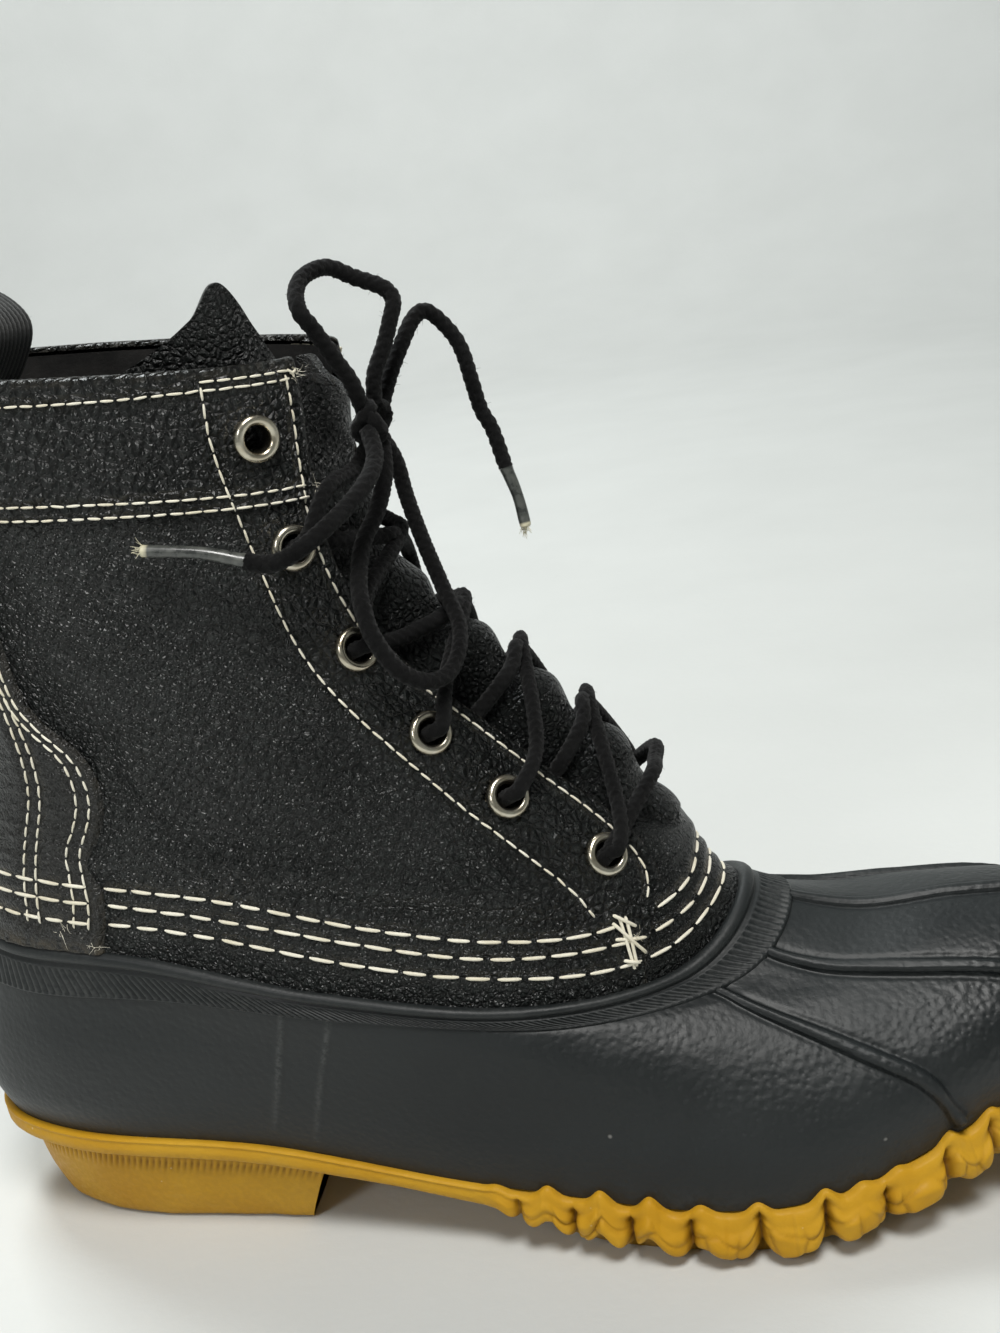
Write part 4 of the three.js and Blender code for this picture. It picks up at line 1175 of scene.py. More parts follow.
@dataclass(frozen=True)
class GumFinish(Finish):
    """Amber gum rubber with painted shade in its folds, dusty on its tops."""

    base: Colour = (0.50, 0.25, 0.008, 1)
    light: Colour = (0.58, 0.32, 0.02, 1)
    # Deep: painted shade, the colour that the fold mask darkens creases and grooves to.
    deep: Colour = (0.14, 0.055, 0.003, 1)
    scuffed: Colour = (0.58, 0.36, 0.07, 1)
    grimy: Colour = (0.2, 0.13, 0.06, 1)
    dusty: Colour = (0.7, 0.6, 0.4, 1)

    def lay(self, paint: Paint) -> None:
        """Clouds, painted shade in the folds, scuffs, grime and specks over a faintly rough skin.

        Args:
            paint: the material's tree.
        """
        fine = paint.cloud(700.0, 5.0)
        scuff = paint.effect(Effect.SCUFF, Streaks=120.0, Spread=0.5).outputs["Mask"]
        dust = paint.effect(Effect.DUST, Specks=300.0, Share=0.12).outputs["Mask"]
        grime = paint.times(paint.mask("wear"), paint.spread(fine, 0.3, 0.6))
        tone = paint.mix(paint.spread(paint.cloud(34.0, 4.0), 0.32, 0.7), self.base, self.light)
        # Painted shade in the folds, where the fold mask is high.
        tone = paint.mix(paint.mask("fold"), tone, self.deep)
        tone = paint.mix(paint.times(scuff, 0.4), tone, self.scuffed)
        tone = paint.mix(paint.times(grime, 0.75), tone, self.grimy)
        tone = paint.mix(paint.times(dust, 0.5), tone, self.dusty)
        paint.coat(tone, paint.spread(fine, 0.3, 0.7, 0.4, 0.62))
        paint.bump(paint.plus(paint.times(fine, 0.5), paint.cloud(190.0)), 0.00035, 0.7)


@dataclass(frozen=True)
class ThreadFinish(Finish):
    """Twisted thread or braid with loose fibres."""

    base: Colour = (0.90, 0.86, 0.73, 1)
    shade: Colour = (0.72, 0.66, 0.50, 1)
    relief: float = 0.00012
    fibres: float = 2400.0

    def lay(self, paint: Paint) -> None:
        """Clouds of two tones over felted fibres.

        Args:
            paint: the material's tree.
        """
        fibre = paint.effect(Effect.FIBRE, Fibres=self.fibres).outputs["Height"]
        tone = paint.mix(paint.spread(paint.cloud(120.0, 4.0), 0.35, 0.7), self.base, self.shade)
        paint.coat(tone, paint.spread(fibre, 0.3, 0.7, 0.7, 0.95))
        paint.bump(fibre, self.relief, 0.8)


@dataclass(frozen=True)
class NickelFinish(Finish):
    """Plated metal with fine scratches and warm tarnish."""

    bright: Colour = (0.62, 0.58, 0.48, 1)
    tarnished: Colour = (0.42, 0.36, 0.26, 1)

    def lay(self, paint: Paint) -> None:
        """Tarnish in clouds, scratches in the roughness.

        Args:
            paint: the material's tree.
        """
        scuff = paint.effect(Effect.SCUFF, Streaks=500.0, Spread=0.45).outputs["Mask"]
        tone = paint.mix(paint.spread(paint.cloud(260.0, 4.0), 0.4, 0.75), self.bright, self.tarnished)
        paint.coat(tone, paint.spread(scuff, 0.0, 1.0, 0.24, 0.4))
        paint.bump(paint.cloud(1600.0), 0.00004, 0.6)


@dataclass(frozen=True)
class SheathFinish(Finish):
    """Clear plastic sheath over dark cord, milky in clouds, cream at its frayed tip."""

    dark: Colour = (0.028, 0.031, 0.029, 1)
    milky: Colour = (0.1, 0.105, 0.095, 1)
    cream: Colour = (0.62, 0.58, 0.42, 1)

    def lay(self, paint: Paint) -> None:
        """Dark cord seen through milky plastic.

        Args:
            paint: the material's tree.
        """
        fine = paint.cloud(500.0, 4.0)
        tone = paint.mix(paint.spread(fine, 0.35, 0.7), self.dark, self.milky)
        paint.coat(paint.mix(paint.mask("wear"), tone, self.cream), paint.spread(fine, 0.3, 0.7, 0.2, 0.42))
        paint.bump(fine, 0.0001, 0.5)


@dataclass(frozen=True)
class FloorFinish(Finish):
    """Plain pale floor."""

    dull: Colour = (0.57, 0.58, 0.565, 1)
    light: Colour = (0.60, 0.61, 0.595, 1)

    def lay(self, paint: Paint) -> None:
        """Faint clouds over a faint grit.

        Args:
            paint: the material's tree.
        """
        paint.coat(paint.mix(paint.spread(paint.cloud(9.0, 4.0), 0.3, 0.75), self.dull, self.light))
        paint.bump(paint.cloud(260.0, 5.0), 0.0003, 0.5)


class Finishes:
    """All materials of the boot and its floor."""

    def __init__(self) -> None:
        """Builds each material once."""
        effects = Effects()
        specular, sheen = "Specular IOR Level", "Sheen Weight"
        leather = {specular: 0.5}
        self.leather = LeatherFinish("black_leather", leather).build(effects)
        self.tongue = LeatherFinish("tongue_leather", leather, pebbles=600.0).build(effects)
        # Its crown colour is a painted highlight on the pebbles' tops, as in the other leathers.
        self.worn = LeatherFinish(
            "worn_heel_leather", leather, base=(0.0028, 0.0028, 0.0023, 1), crown=(0.0105, 0.0105, 0.0090, 1),
            pebbles=520.0, relief=0.0006).build(effects)
        self.suede = ThreadFinish("dark_lining", {specular: 0.2}, base=(0.009, 0.009, 0.009, 1),
                                  shade=(0.022, 0.021, 0.02, 1), relief=0.0003, fibres=1100.0).build(effects)
        self.rubber = RubberFinish("black_rubber", {specular: 0.4}).build(effects)
        self.gum = GumFinish("gum_rubber", {specular: 0.22}).build(effects)
        self.thread = ThreadFinish("cream_thread", {sheen: 0.2}).build(effects)
        self.braid = ThreadFinish(
            "black_braid", {specular: 0.12, sheen: 0.08}, base=(0.0016, 0.0016, 0.0017, 1),
            shade=(0.0055, 0.0055, 0.0056, 1), relief=0.0004, fibres=1500.0).build(effects)
        self.webbing = ThreadFinish(
            "black_webbing", {specular: 0.25, sheen: 0.2}, base=(0.010, 0.011, 0.011, 1),
            shade=(0.028, 0.029, 0.028, 1), relief=0.0003, fibres=1300.0).build(effects)
        self.nickel = NickelFinish("plated_nickel", {"Metallic": 1.0}).build(effects)
        self.sheath = SheathFinish("clear_sheath", {"Coat Weight": 0.5, "Coat Roughness": 0.2}).build(effects)
        self.floor = FloorFinish("pale_floor", {"Roughness": 0.75}).build(effects)


# Photograph's camera


@dataclass(frozen=True)
class PhotoCamera:
    """Pinhole camera at the photograph's place, in millimetres and radians."""

    place: tuple[float, float, float] = (164.00, -333.19, 232.30)
    yaw: float = -0.181584
    pitch: float = 0.297456
    roll: float = -0.151982
    focal: float = 1503.138
    long_side: float = 1333.0
    sensor: float = 36.0

    def build(self) -> bpy.types.Object:
        """Makes the camera and hands it to the scene.

        Returns:
            The camera.
        """
        data = bpy.data.cameras.new("photo_camera")
        data.sensor_fit = "AUTO"
        data.sensor_width = self.sensor
        data.lens = self.focal * self.sensor / self.long_side
        data.clip_start = 0.01
        data.clip_end = 20
        made = bpy.data.objects.new("photo_camera", data)
        flat = math.cos(self.pitch)
        ahead = Vector((math.sin(self.yaw) * flat, math.cos(self.yaw) * flat, -math.sin(self.pitch)))
        level = Vector((math.cos(self.yaw), -math.sin(self.yaw), 0))
        up = level.cross(ahead)
        right = math.cos(self.roll) * level + math.sin(self.roll) * up
        above = -math.sin(self.roll) * level + math.cos(self.roll) * up
        turned = Matrix((right, above, -ahead)).transposed()
        made.matrix_world = Matrix.Translation(Vector(self.place) * MM) @ turned.to_4x4()
        bpy.context.scene.collection.objects.link(made)
        bpy.context.scene.camera = made
        return made


# Relief of the shaft, which its stitches follow


@dataclass
class Throat:
    """Tongue's face under the laces, as a distance from the boot's form."""

    depth: float = 4.6
    crown: float = 5.2
    reach: float = 0.12
    swell: float = 6.4
    swell_from: float = 6.9
    swell_to: float = 9.5
    tuck: float = 0.8
    wing_edge: float = 0.8
    wing_slope: float = 11.0

    def face(self, at: Array, row: Array) -> Array:
        """Distance of the tongue's face from the form, negative inside.

        Args:
            at: signed places.
            row: section numbers.

        Returns:
            Distances in millimetres.
        """
        away = (1 - np.abs(at)) / self.reach
        crown = np.where(away >= 1, 0, (1 - np.minimum(away, 1) ** 2) ** 2)
        along = np.clip((row - self.swell_from) / (self.swell_to - self.swell_from), 0, 1)
        rise = self.crown + self.swell * np.sin(np.pi * along) - np.where(row < 7, self.tuck, 0)
        wing = np.where(at < 0, np.maximum(0, self.wing_edge - np.abs(at)) * self.wing_slope, 0)
        return -self.depth - wing + rise * crown


THROAT = Throat()


def mirrored(paths: Sequence[Path]) -> list[Path]:
    """Paths of the outer side and the same on the inner side."""
    outer = [tuple((-at, row) for at, row in path) for path in paths]
    return outer + [tuple(path) for path in paths]


SHAFT_CREASES = tuple(
    Crease(path, depth, width) for depth, width, paths in (
        (0.55, 2.0, [
            ((0.393, 8.29), (0.386, 7.96), (0.398, 7.68), (0.426, 7.49), (0.464, 7.47)),
            ((0.379, 7.95), (0.381, 7.68), (0.400, 7.48), (0.435, 7.37)),
            ((0.374, 7.70), (0.381, 7.49), (0.404, 7.34), (0.441, 7.30), (0.490, 7.36)),
        ]),
        (0.35, 1.5, [
            ((0.384, 7.20), (0.409, 6.83)), ((0.405, 7.24), (0.429, 6.86)), ((0.427, 7.26), (0.449, 6.86)),
            ((0.452, 7.28), (0.470, 6.88)), ((0.476, 7.32), (0.491, 6.86)), ((0.497, 7.29), (0.511, 6.86)),
            ((0.530, 7.28), (0.541, 6.89)), ((0.654, 7.39), (0.652, 6.92)), ((0.683, 7.52), (0.676, 6.97)),
            ((0.718, 7.59), (0.710, 7.04)),
        ]),
        (0.45, 4.0, [
            ((0.424, 9.59), (0.462, 9.31), (0.514, 9.09)), ((0.389, 9.17), (0.439, 8.85), (0.491, 8.69)),
            ((0.561, 9.15), (0.586, 8.76), (0.633, 8.45)), ((0.541, 8.69), (0.573, 8.34), (0.640, 8.14)),
        ]),
        (0.9, 3.2, [
            ((0.354, 6.93), (0.432, 6.95), (0.519, 6.93), (0.615, 6.84), (0.698, 6.74)),
        ]),
    ) for path in mirrored(paths)
)

FACING = ((0.705, 10.93), (0.702, 10.53), (0.712, 10.0), (0.718, 9.51), (0.715, 8.72), (0.731, 8.02),
          (0.747, 7.38), (0.767, 6.70))
COLLAR_LINE = ((0.015, 10.87), (0.15, 10.87), (0.3, 10.86), (0.5, 10.86), (0.62, 10.875), (0.702, 10.89),
               (0.846, 10.89))
PATCH_LINE = ((0.703, 10.955), (0.775, 10.955), (0.845, 10.955))
DOUBLE_HIGH = ((0.015, 10.2), (0.2, 10.19), (0.37, 10.17), (0.55, 10.14), (0.70, 10.11), (0.84, 10.07))
DOUBLE_LOW = ((0.015, 10.09), (0.2, 10.085), (0.37, 10.07), (0.55, 10.045), (0.70, 10.02), (0.84, 9.985))
FOOT_LINES = (
    ((0.33, 6.74), (0.352, 6.75), (0.459, 6.80), (0.549, 6.71), (0.66, 6.62), (0.742, 6.59), (0.79, 6.6)),
    ((0.33, 6.57), (0.347, 6.57), (0.454, 6.61), (0.544, 6.56), (0.654, 6.48), (0.745, 6.46), (0.80, 6.44)),
    ((0.33, 6.37), (0.342, 6.37), (0.446, 6.42), (0.537, 6.37), (0.649, 6.31), (0.735, 6.26), (0.797, 6.24)),
)
VAMP_LINES = (
    ((0.845, 6.595), (0.88, 6.58), (0.916, 6.57), (0.964, 6.63), (1.0, 6.66)),
    ((0.822, 6.43), (0.87, 6.4), (0.925, 6.38), (0.978, 6.40), (1.0, 6.41)),
    ((0.802, 6.235), (0.85, 6.22), (0.904, 6.21), (0.977, 6.17), (1.0, 6.17)),
)


def quarter_edge(row: Array) -> Array:
    """Place of a quarter's front edge at each section number."""
    return curve(QUARTER_EDGE, row)


def band_row(at: Array) -> Array:
    """Section number of the collar band's low edge."""
    return curve(np.array([(row_at, row - 0.035) for row_at, row in DOUBLE_LOW]), np.abs(at))


def shaft_relief(at: Array, row: Array, points: Array) -> Array:
    """Height of the shaft's creased leather over the boot's form.

    Args:
        at: signed places.
        row: section numbers.
        points: the same places in millimetres.

    Returns:
        Heights in millimetres.
    """
    place = np.abs(at)
    height = BAND_PROUD * ease((row - band_row(at)) / 0.03)
    height += 0.5 * noise(points, 26.0, 3) + 0.22 * noise(points, 9.0, 4) + 0.07 * noise(points, 3.4, 5)
    shown = ease((row - 6.72) / 0.06)
    height += shown * bell(row - 6.98, 0.16) * ease((0.86 - place) / 0.1)
    height -= 0.25 * ease((6.78 - row) / 0.1) + 0.35 * bell(quarter_edge(row) - place, 0.006)
    return height + sum(crease.relief(at, row, points) for crease in SHAFT_CREASES)


# Pieces of the boot


@dataclass
class Shaft:
    """Leather shaft: both quarters round the back in one skin, with its lining and its stitches."""

    columns: int = 336
    rows: int = 152
    foot_rows: int = 32
    hole: float = 4.1
    lining_hole: float = 3.3
    low: float = 5.93
    plain_from: float = 6.9
    lining_top: float = 10.97
    rim_steps: int = 6
    edge_inset: float = 0.021

    def seams(self) -> list[Seam]:
        """All rows of stitches on the shaft.

        Returns:
            Thin rows of the facing, the collar and the quarters' edges, and the thick rows above the rubber.
        """
        rows = (10.93, 10.6, 10.3, 10.0, 9.6, 9.2, 8.8, 8.4, 8.0, 7.6, 7.2, 6.9, 6.7)
        edge = [(quarter_edge(row) - self.edge_inset, row) for row in rows]
        thin = [FACING, COLLAR_LINE, PATCH_LINE, DOUBLE_HIGH, DOUBLE_LOW, edge]
        return [Seam(p, THIN) for p in mirrored(thin)] + [Seam(p, THICK) for p in mirrored(FOOT_LINES)]

    def build(self, finishes: Finishes) -> list[bpy.types.Object]:
        """Makes the skin and the lining.

        Args:
            finishes: the boot's materials.

        Returns:
            The pieces.
        """
        return [
            self.skin().to_object("leather_shaft", finishes.leather, "leather", ["leather_upper"]),
            self.lining().to_object("shaft_lining", finishes.suede, "lining"),
        ]

    def skin(self) -> Surface:
        """Outer skin, rolled in at the collar and at both front edges.

        Returns:
            The skin with its grain and wear.
        """
        rows = np.concatenate([np.linspace(self.low, self.plain_from, self.foot_rows, endpoint=False),
                               np.linspace(self.plain_from, COLLAR_ROW, self.rows - self.foot_rows)])
        edge = quarter_edge(rows)[:, None]
        at = np.linspace(-1, 1, self.columns)[None] * edge
        row = np.broadcast_to(rows[:, None], at.shape)
        place = np.abs(at)
        form, outward = FORM.point(at, row), FORM.outward(at, row)
        relief = shaft_relief(at, row, form) + sewn_in(form, self.seams(), 0.42, 0.16, 2.4, 1.2)
        grain = 0.6 + 0.45 * ease((row - band_row(at)) / 0.06) + 0.3 * ease((place - 0.7) / 0.03)
        grain = np.clip(grain - 0.2 * ease((6.75 - row) / 0.1) + 0.2 * noise(form, 20.0, 9), 0, 1.15)
        wear = 0.32 * ease((row - 10.975) / 0.02) + 0.3 * bell(edge - place, 0.002)
        skin = form + outward * relief[..., None]
        collar = self.rolled(skin[-1], outward[-1], np.array([0.0, 0.0, 1.0]), LEATHER_WALL + BAND_PROUD, 0.5)
        skin = np.concatenate([skin, np.stack(collar)])
        outward = np.pad(outward, ((0, self.rim_steps), (0, 0), (0, 0)), mode="edge")
        start, end = (
            np.stack(self.rolled(skin[:, k], outward[:, k], unit(skin[:, k] - skin[:, beside]),
                                 LEATHER_WALL * 0.9, 0.35), 1)
            for k, beside in ((0, 1), (-1, -2)))
        skin = np.concatenate([start[:, ::-1], skin, end], 1)
        above, ends = ((0, self.rim_steps), (0, 0)), ((0, 0), (self.rim_steps, self.rim_steps))
        outward = np.pad(outward, (*ends, (0, 0)), mode="edge")
        for pad, worn in ((above, 0.25), (ends, 0.5)):
            grain, wear = np.pad(grain, pad, mode="edge"), np.pad(wear, pad, constant_values=worn)
        return Surface.grid(skin, {"grain": grain, "wear": wear}, outward=outward,
                            keep=self.clear_of_holes(skin, self.hole))

    def rolled(self, edge: Array, outward: Array, away: Array, wall: float, reach: float) -> list[Array]:
        """Half round from the outer side of an edge to its inner side.

        Args:
            edge: points of the edge.
            outward: directions out of the leather there.
            away: directions past the edge.
            wall: thickness of the leather.
            reach: how far it bulges past the edge, as a share of the wall.

        Returns:
            One line of points for each step.
        """
        return [edge - outward * wall * (1 - math.cos(angle)) / 2 + away * wall * reach * math.sin(angle)
                for angle in np.pi * np.linspace(0, 1, self.rim_steps + 1)[1:]]

    def lining(self) -> Surface:
        """Rough inner face of the leather.

        Returns:
            The lining, open at the eyelets' holes.
        """
        rows = np.linspace(self.low, self.lining_top, 40)
        at = np.linspace(-1, 1, 110)[None] * (quarter_edge(rows)[:, None] - 0.004)
        row = np.broadcast_to(rows[:, None], at.shape)
        inside = FORM.off(at, row, -LEATHER_WALL - 0.25 * noise(FORM.point(at, row), 14, 6))
        return Surface.grid(inside, outward=-FORM.outward(at, row),
                            keep=self.clear_of_holes(inside, self.lining_hole))

    @staticmethod
    def clear_of_holes(points: Array, radius: float) -> Array:
        """Faces that lie outside the eyelets' holes.

        Args:
            points: rows and columns of points.
            radius: the holes' radius.

        Returns:
            True for each face that stays.
        """
        keep = np.ones((points.shape[0] - 1, points.shape[1] - 1), bool)
        for row, place in EYELETS:
            for side in Side:
                centre = FORM.point(side.value * place, row)
                near = np.linalg.norm(points - centre, axis=-1) < radius
                keep &= ~(near[:-1, :-1] | near[1:, :-1] | near[:-1, 1:] | near[1:, 1:])
        return keep


def stitch_line(seam: Seam, height: Relief | None = None, step: float = 0.8) -> Array:
    """Points along a seam.

    Args:
        seam: the row of stitches.
        height: relief of the surface that it lies on, or none for the bare form.
        step: distance between points.

    Returns:
        Points in millimetres.
    """
    at, row = seam.places(0.2)
    points = FORM.point(at, row)
    if height is not None:
        points = points + FORM.outward(at, row) * height(at, row, points)[:, None]
    return even_line(points, step)


@dataclass
class Stitching:
    """Rows of separate stitches, each a short plump thread that dives into the leather."""

    sides: int = 6
    profile: tuple[float, ...] = (0.55, 0.92, 1.0, 1.0, 1.0, 0.92, 0.55)
    uneven: float = 0.08
    skewed: float = 0.12

    def row(self, seam: Seam, height: Relief, seed: int) -> list[Surface]:
        """All stitches of one seam.

        Args:
            seam: the row of stitches.
            height: relief of the surface that they lie on.
            seed: makes each row's small differences its own.

        Returns:
            One surface for each stitch.
        """
        thread = seam.thread
        line = stitch_line(seam, height, thread.pitch)
        places = seam.places(0.5)
        normals, bases = FORM.outward(*places), FORM.point(*places)
        share = np.linspace(-0.5, 0.5, len(self.profile))
        arch = thread.radius * (0.6 - 10.0 * share**4)
        made = []
        random = np.random.default_rng(seed)
        for first, last in zip(line[:-1], line[1:]):
            middle = (first + last) / 2
            normal = normals[np.linalg.norm(bases - middle, axis=-1).argmin()]
            ahead = (last - first) * thread.fill * (1 + self.uneven * random.standard_normal())
            skew = np.cross(normal, unit(ahead)) * self.skewed * random.standard_normal()
            points = middle + share[:, None] * (ahead + skew) + normal * arch[:, None]
            made.append(tube(points, thread.radius * np.array(self.profile), self.sides))
        return made

    def bar_tack(self, ends: Sequence[Path], height: Relief, thread: float) -> list[Surface]:
        """Thick threads laid straight between pairs of places.

        Args:
            ends: pairs of places, each a place around and a section number.
            height: relief of the surface that they lie on.
            thread: their radius.

        Returns:
            One surface for each thread.
        """
        made = []
        for index, (first, last) in enumerate(ends):
            line = stitch_line(Seam((first, last), THICK), height, 0.6)
            arch = np.sin(np.linspace(0, np.pi, len(line)))
            lift = FORM.outward(*first) * (0.2 + thread + 0.25 * (index % 3))
            made.append(tube(line + lift * arch[:, None] ** 0.4, thread, self.sides))
        return made


@dataclass
class RubberFoot:
    """Moulded rubber foot: its wall with ribs and side lines, its inner wall and its trim."""

    columns: int = 620
    rows: int = 104
    rib_height: float = 1.45
    rib_width: float = 1.5
    line_height: float = 0.28
    tooth_pitch: float = 1.9
    tooth_columns: int = 6
    tooth_depth: float = 0.55

    def build(self, finishes: Finishes) -> list[bpy.types.Object]:
        """Makes the wall and the trim.

        Args:
            finishes: the boot's materials.

        Returns:
            The pieces.
        """
        foot = Surface.joined([self.wall(), self.inner_wall()])
        return [
            foot.to_object("rubber_foot", finishes.rubber, "rubber", ["rubber_shell"]),
            self.trim().to_object("bead_and_strip", finishes.rubber, "rubber"),
        ]

    @staticmethod
    def density(at: Array) -> Array:
        """Columns per millimetre: fine over the ribs and the side lines."""
        place = np.abs(at)
        return 0.42 + 0.85 * ease((place - 0.6) / 0.06) + 0.75 * bell(place - 0.42, 0.075, 4)

    def wall(self) -> Surface:
        """Outer wall with its ribs and side lines.

        Returns:
            The wall with its wear, grain and ribs' crests.
        """
        at = signed(even_places(self.density, self.columns, 2.5))
        top = FORM.walk(at, TOPLINE_ROW, -STRIP_HEIGHT - BEAD_HEIGHT + 0.6)
        share = np.linspace(0, 1, self.rows)
        row = share[:, None] * top[None]
        places = np.broadcast_to(at[None], row.shape)
        form = FORM.point(places, row)
        relief = 0.16 * noise(form, 30.0, 11) + 0.06 * noise(form, 8.0, 12)
        dusty, crest = np.zeros_like(relief), np.zeros_like(relief)
        for side, path in RIBS:
            line = traced([(side.value * place, low) for low, place in path], 0.7)
            gap = nearest(form, line)
            grown = 0.55 + 0.45 * ease((form[..., 0] - 185) / 45)
            ridge = ease((self.rib_width * 1.3 * grown - gap) / (self.rib_width * 0.75))
            groove = gap - 2.6 * grown
            relief += self.rib_height * grown * ridge - 0.35 * bell(groove, 0.7)
            crest = np.maximum(crest, np.clip(1 - gap / (2.6 * self.rib_width * grown), 0, 1))
            if side is Side.OUTER and path is RIDGE:
                under = ease((line[:, 2].max() - form[..., 2]) / 20)
                dusty += 0.3 * under * bell(groove, 0.6) * (0.6 + 0.4 * noise(form, 5.0, 16))
        for side in Side:
            for path in SIDE_LINES:
                gap = nearest(form, traced([(side.value * place, low) for low, place in path], 0.8))
                relief += self.line_height * bell(gap, 0.75)
                dusty += 0.62 * bell(gap, 0.7, 4) * (0.6 + 0.4 * noise(form, 6.0, 13))
        dusty += 0.16 * ease((0.12 - share[:, None]) / 0.12) * (0.5 + 0.5 * noise(form, 12.0, 14))
        middle = ease((np.abs(places) - 0.5) / 0.1) * ease(3.9 - row) * ease((row - 0.6) / 0.8)
        grain = np.clip(0.5 + 0.5 * middle + 0.2 * noise(form, 25.0, 15), 0, 1)
        masks = {"wear": np.clip(dusty, 0, 1), "grain": grain, "crest": crest}
        return Surface.raised(places, row, relief, masks, wrap=True)

    @staticmethod
    def inner_wall() -> Surface:
        """Plain inner face of the wall.

        Returns:
            The face, looking into the boot.
        """
        at = signed(np.linspace(0, 1, 120, endpoint=False))
        row = np.linspace(0, 1, 14)[:, None] * FORM.walk(at, TOPLINE_ROW, -STRIP_HEIGHT)[None]
        return Surface.raised(np.broadcast_to(at[None], row.shape), row, -RUBBER_WALL, wrap=True, inward=True)

    def trim(self) -> Surface:
        """Serrated strip, bead and the ledge and flange behind the leather.

        Returns:
            The trim with its wear and grain.
        """
        ring = FORM.point(signed(np.linspace(0, 1, 2001)), TOPLINE_ROW - 0.5)
        teeth = round(length_of(ring) / self.tooth_pitch)
        count = teeth * self.tooth_columns
        at = signed(even_places(np.ones_like, count, TOPLINE_ROW - 0.5))
        line = FORM.point(at, TOPLINE_ROW - 0.5)
        wave = 0.5 - 0.5 * np.cos(2 * np.pi * np.arange(count) / self.tooth_columns)
        low, high = 12.2, 5.4
        bead = [(1.7 - 1.75 * math.sin(angle), 0.35 + 1.3 * math.cos(angle), 0)
                for angle in np.linspace(-0.5, 0.5, 7) * np.pi]
        stations = [
            (STRIP_HEIGHT + BEAD_HEIGHT + 0.5, -0.5, 0), (13.3, 0.1, 0), (13.0, 0.55, 0), (12.6, 0.75, 0),
            *((down, 0.8, 1 - 0.25 * (low - down) / (low - high)) for down in np.linspace(low, high, 4)),
            (5.0, 0.8, 0), (4.6, 0.72, 0), (4.0, 0.35, 0), (3.6, 0.3, 0), *bead,
            (-0.1, -0.6, 0), (-0.1, -2.5, 0), (-FLANGE_HEIGHT, -2.6, 0), (-FLANGE_HEIGHT, -3.7, 0),
            (0.5, -3.7, 0),
        ]
        rows, masks = [], []
        outline = FORM.outward(at, TOPLINE_ROW - 0.5)
        for down, proud, toothed in stations:
            row = FORM.walk(at, TOPLINE_ROW, -down)
            deep = toothed * self.tooth_depth * ease(wave * 1.7 - 0.5)
            rough = 0.05 * noise(FORM.point(at, row), 4.0, 17)
            rows.append(FORM.off(at, row, proud - deep + rough))
            # Paler on the teeth's crests than in their grooves.
            masks.append(np.full(count, 0.06) + 0.2 * toothed * (1 - wave) + 0.08 * noise(line, 9.0, 18))
        points, wear = np.stack(rows), np.clip(np.stack(masks), 0, 1)
        return Surface.grid(points, {"wear": wear, "grain": np.full(wear.shape, 0.1)}, wrap=True,
                            outward=np.broadcast_to(outline[None], points.shape))


def beside(at: Array, inset: Array, height: Array) -> Array:
    """Points beside the feather line, with the inset measured level.

    Args:
        at: signed places.
        inset: distance towards the middle of the sole.
        height: height of each point.

    Returns:
        Points in millimetres.
    """
    level = FORM.outward(at, 0.0)
    level[..., 2] = 0
    made = FORM.point(at, 0.0) - unit(level) * np.asarray(inset, float)[..., None]
    made[..., 2] = height
    return made


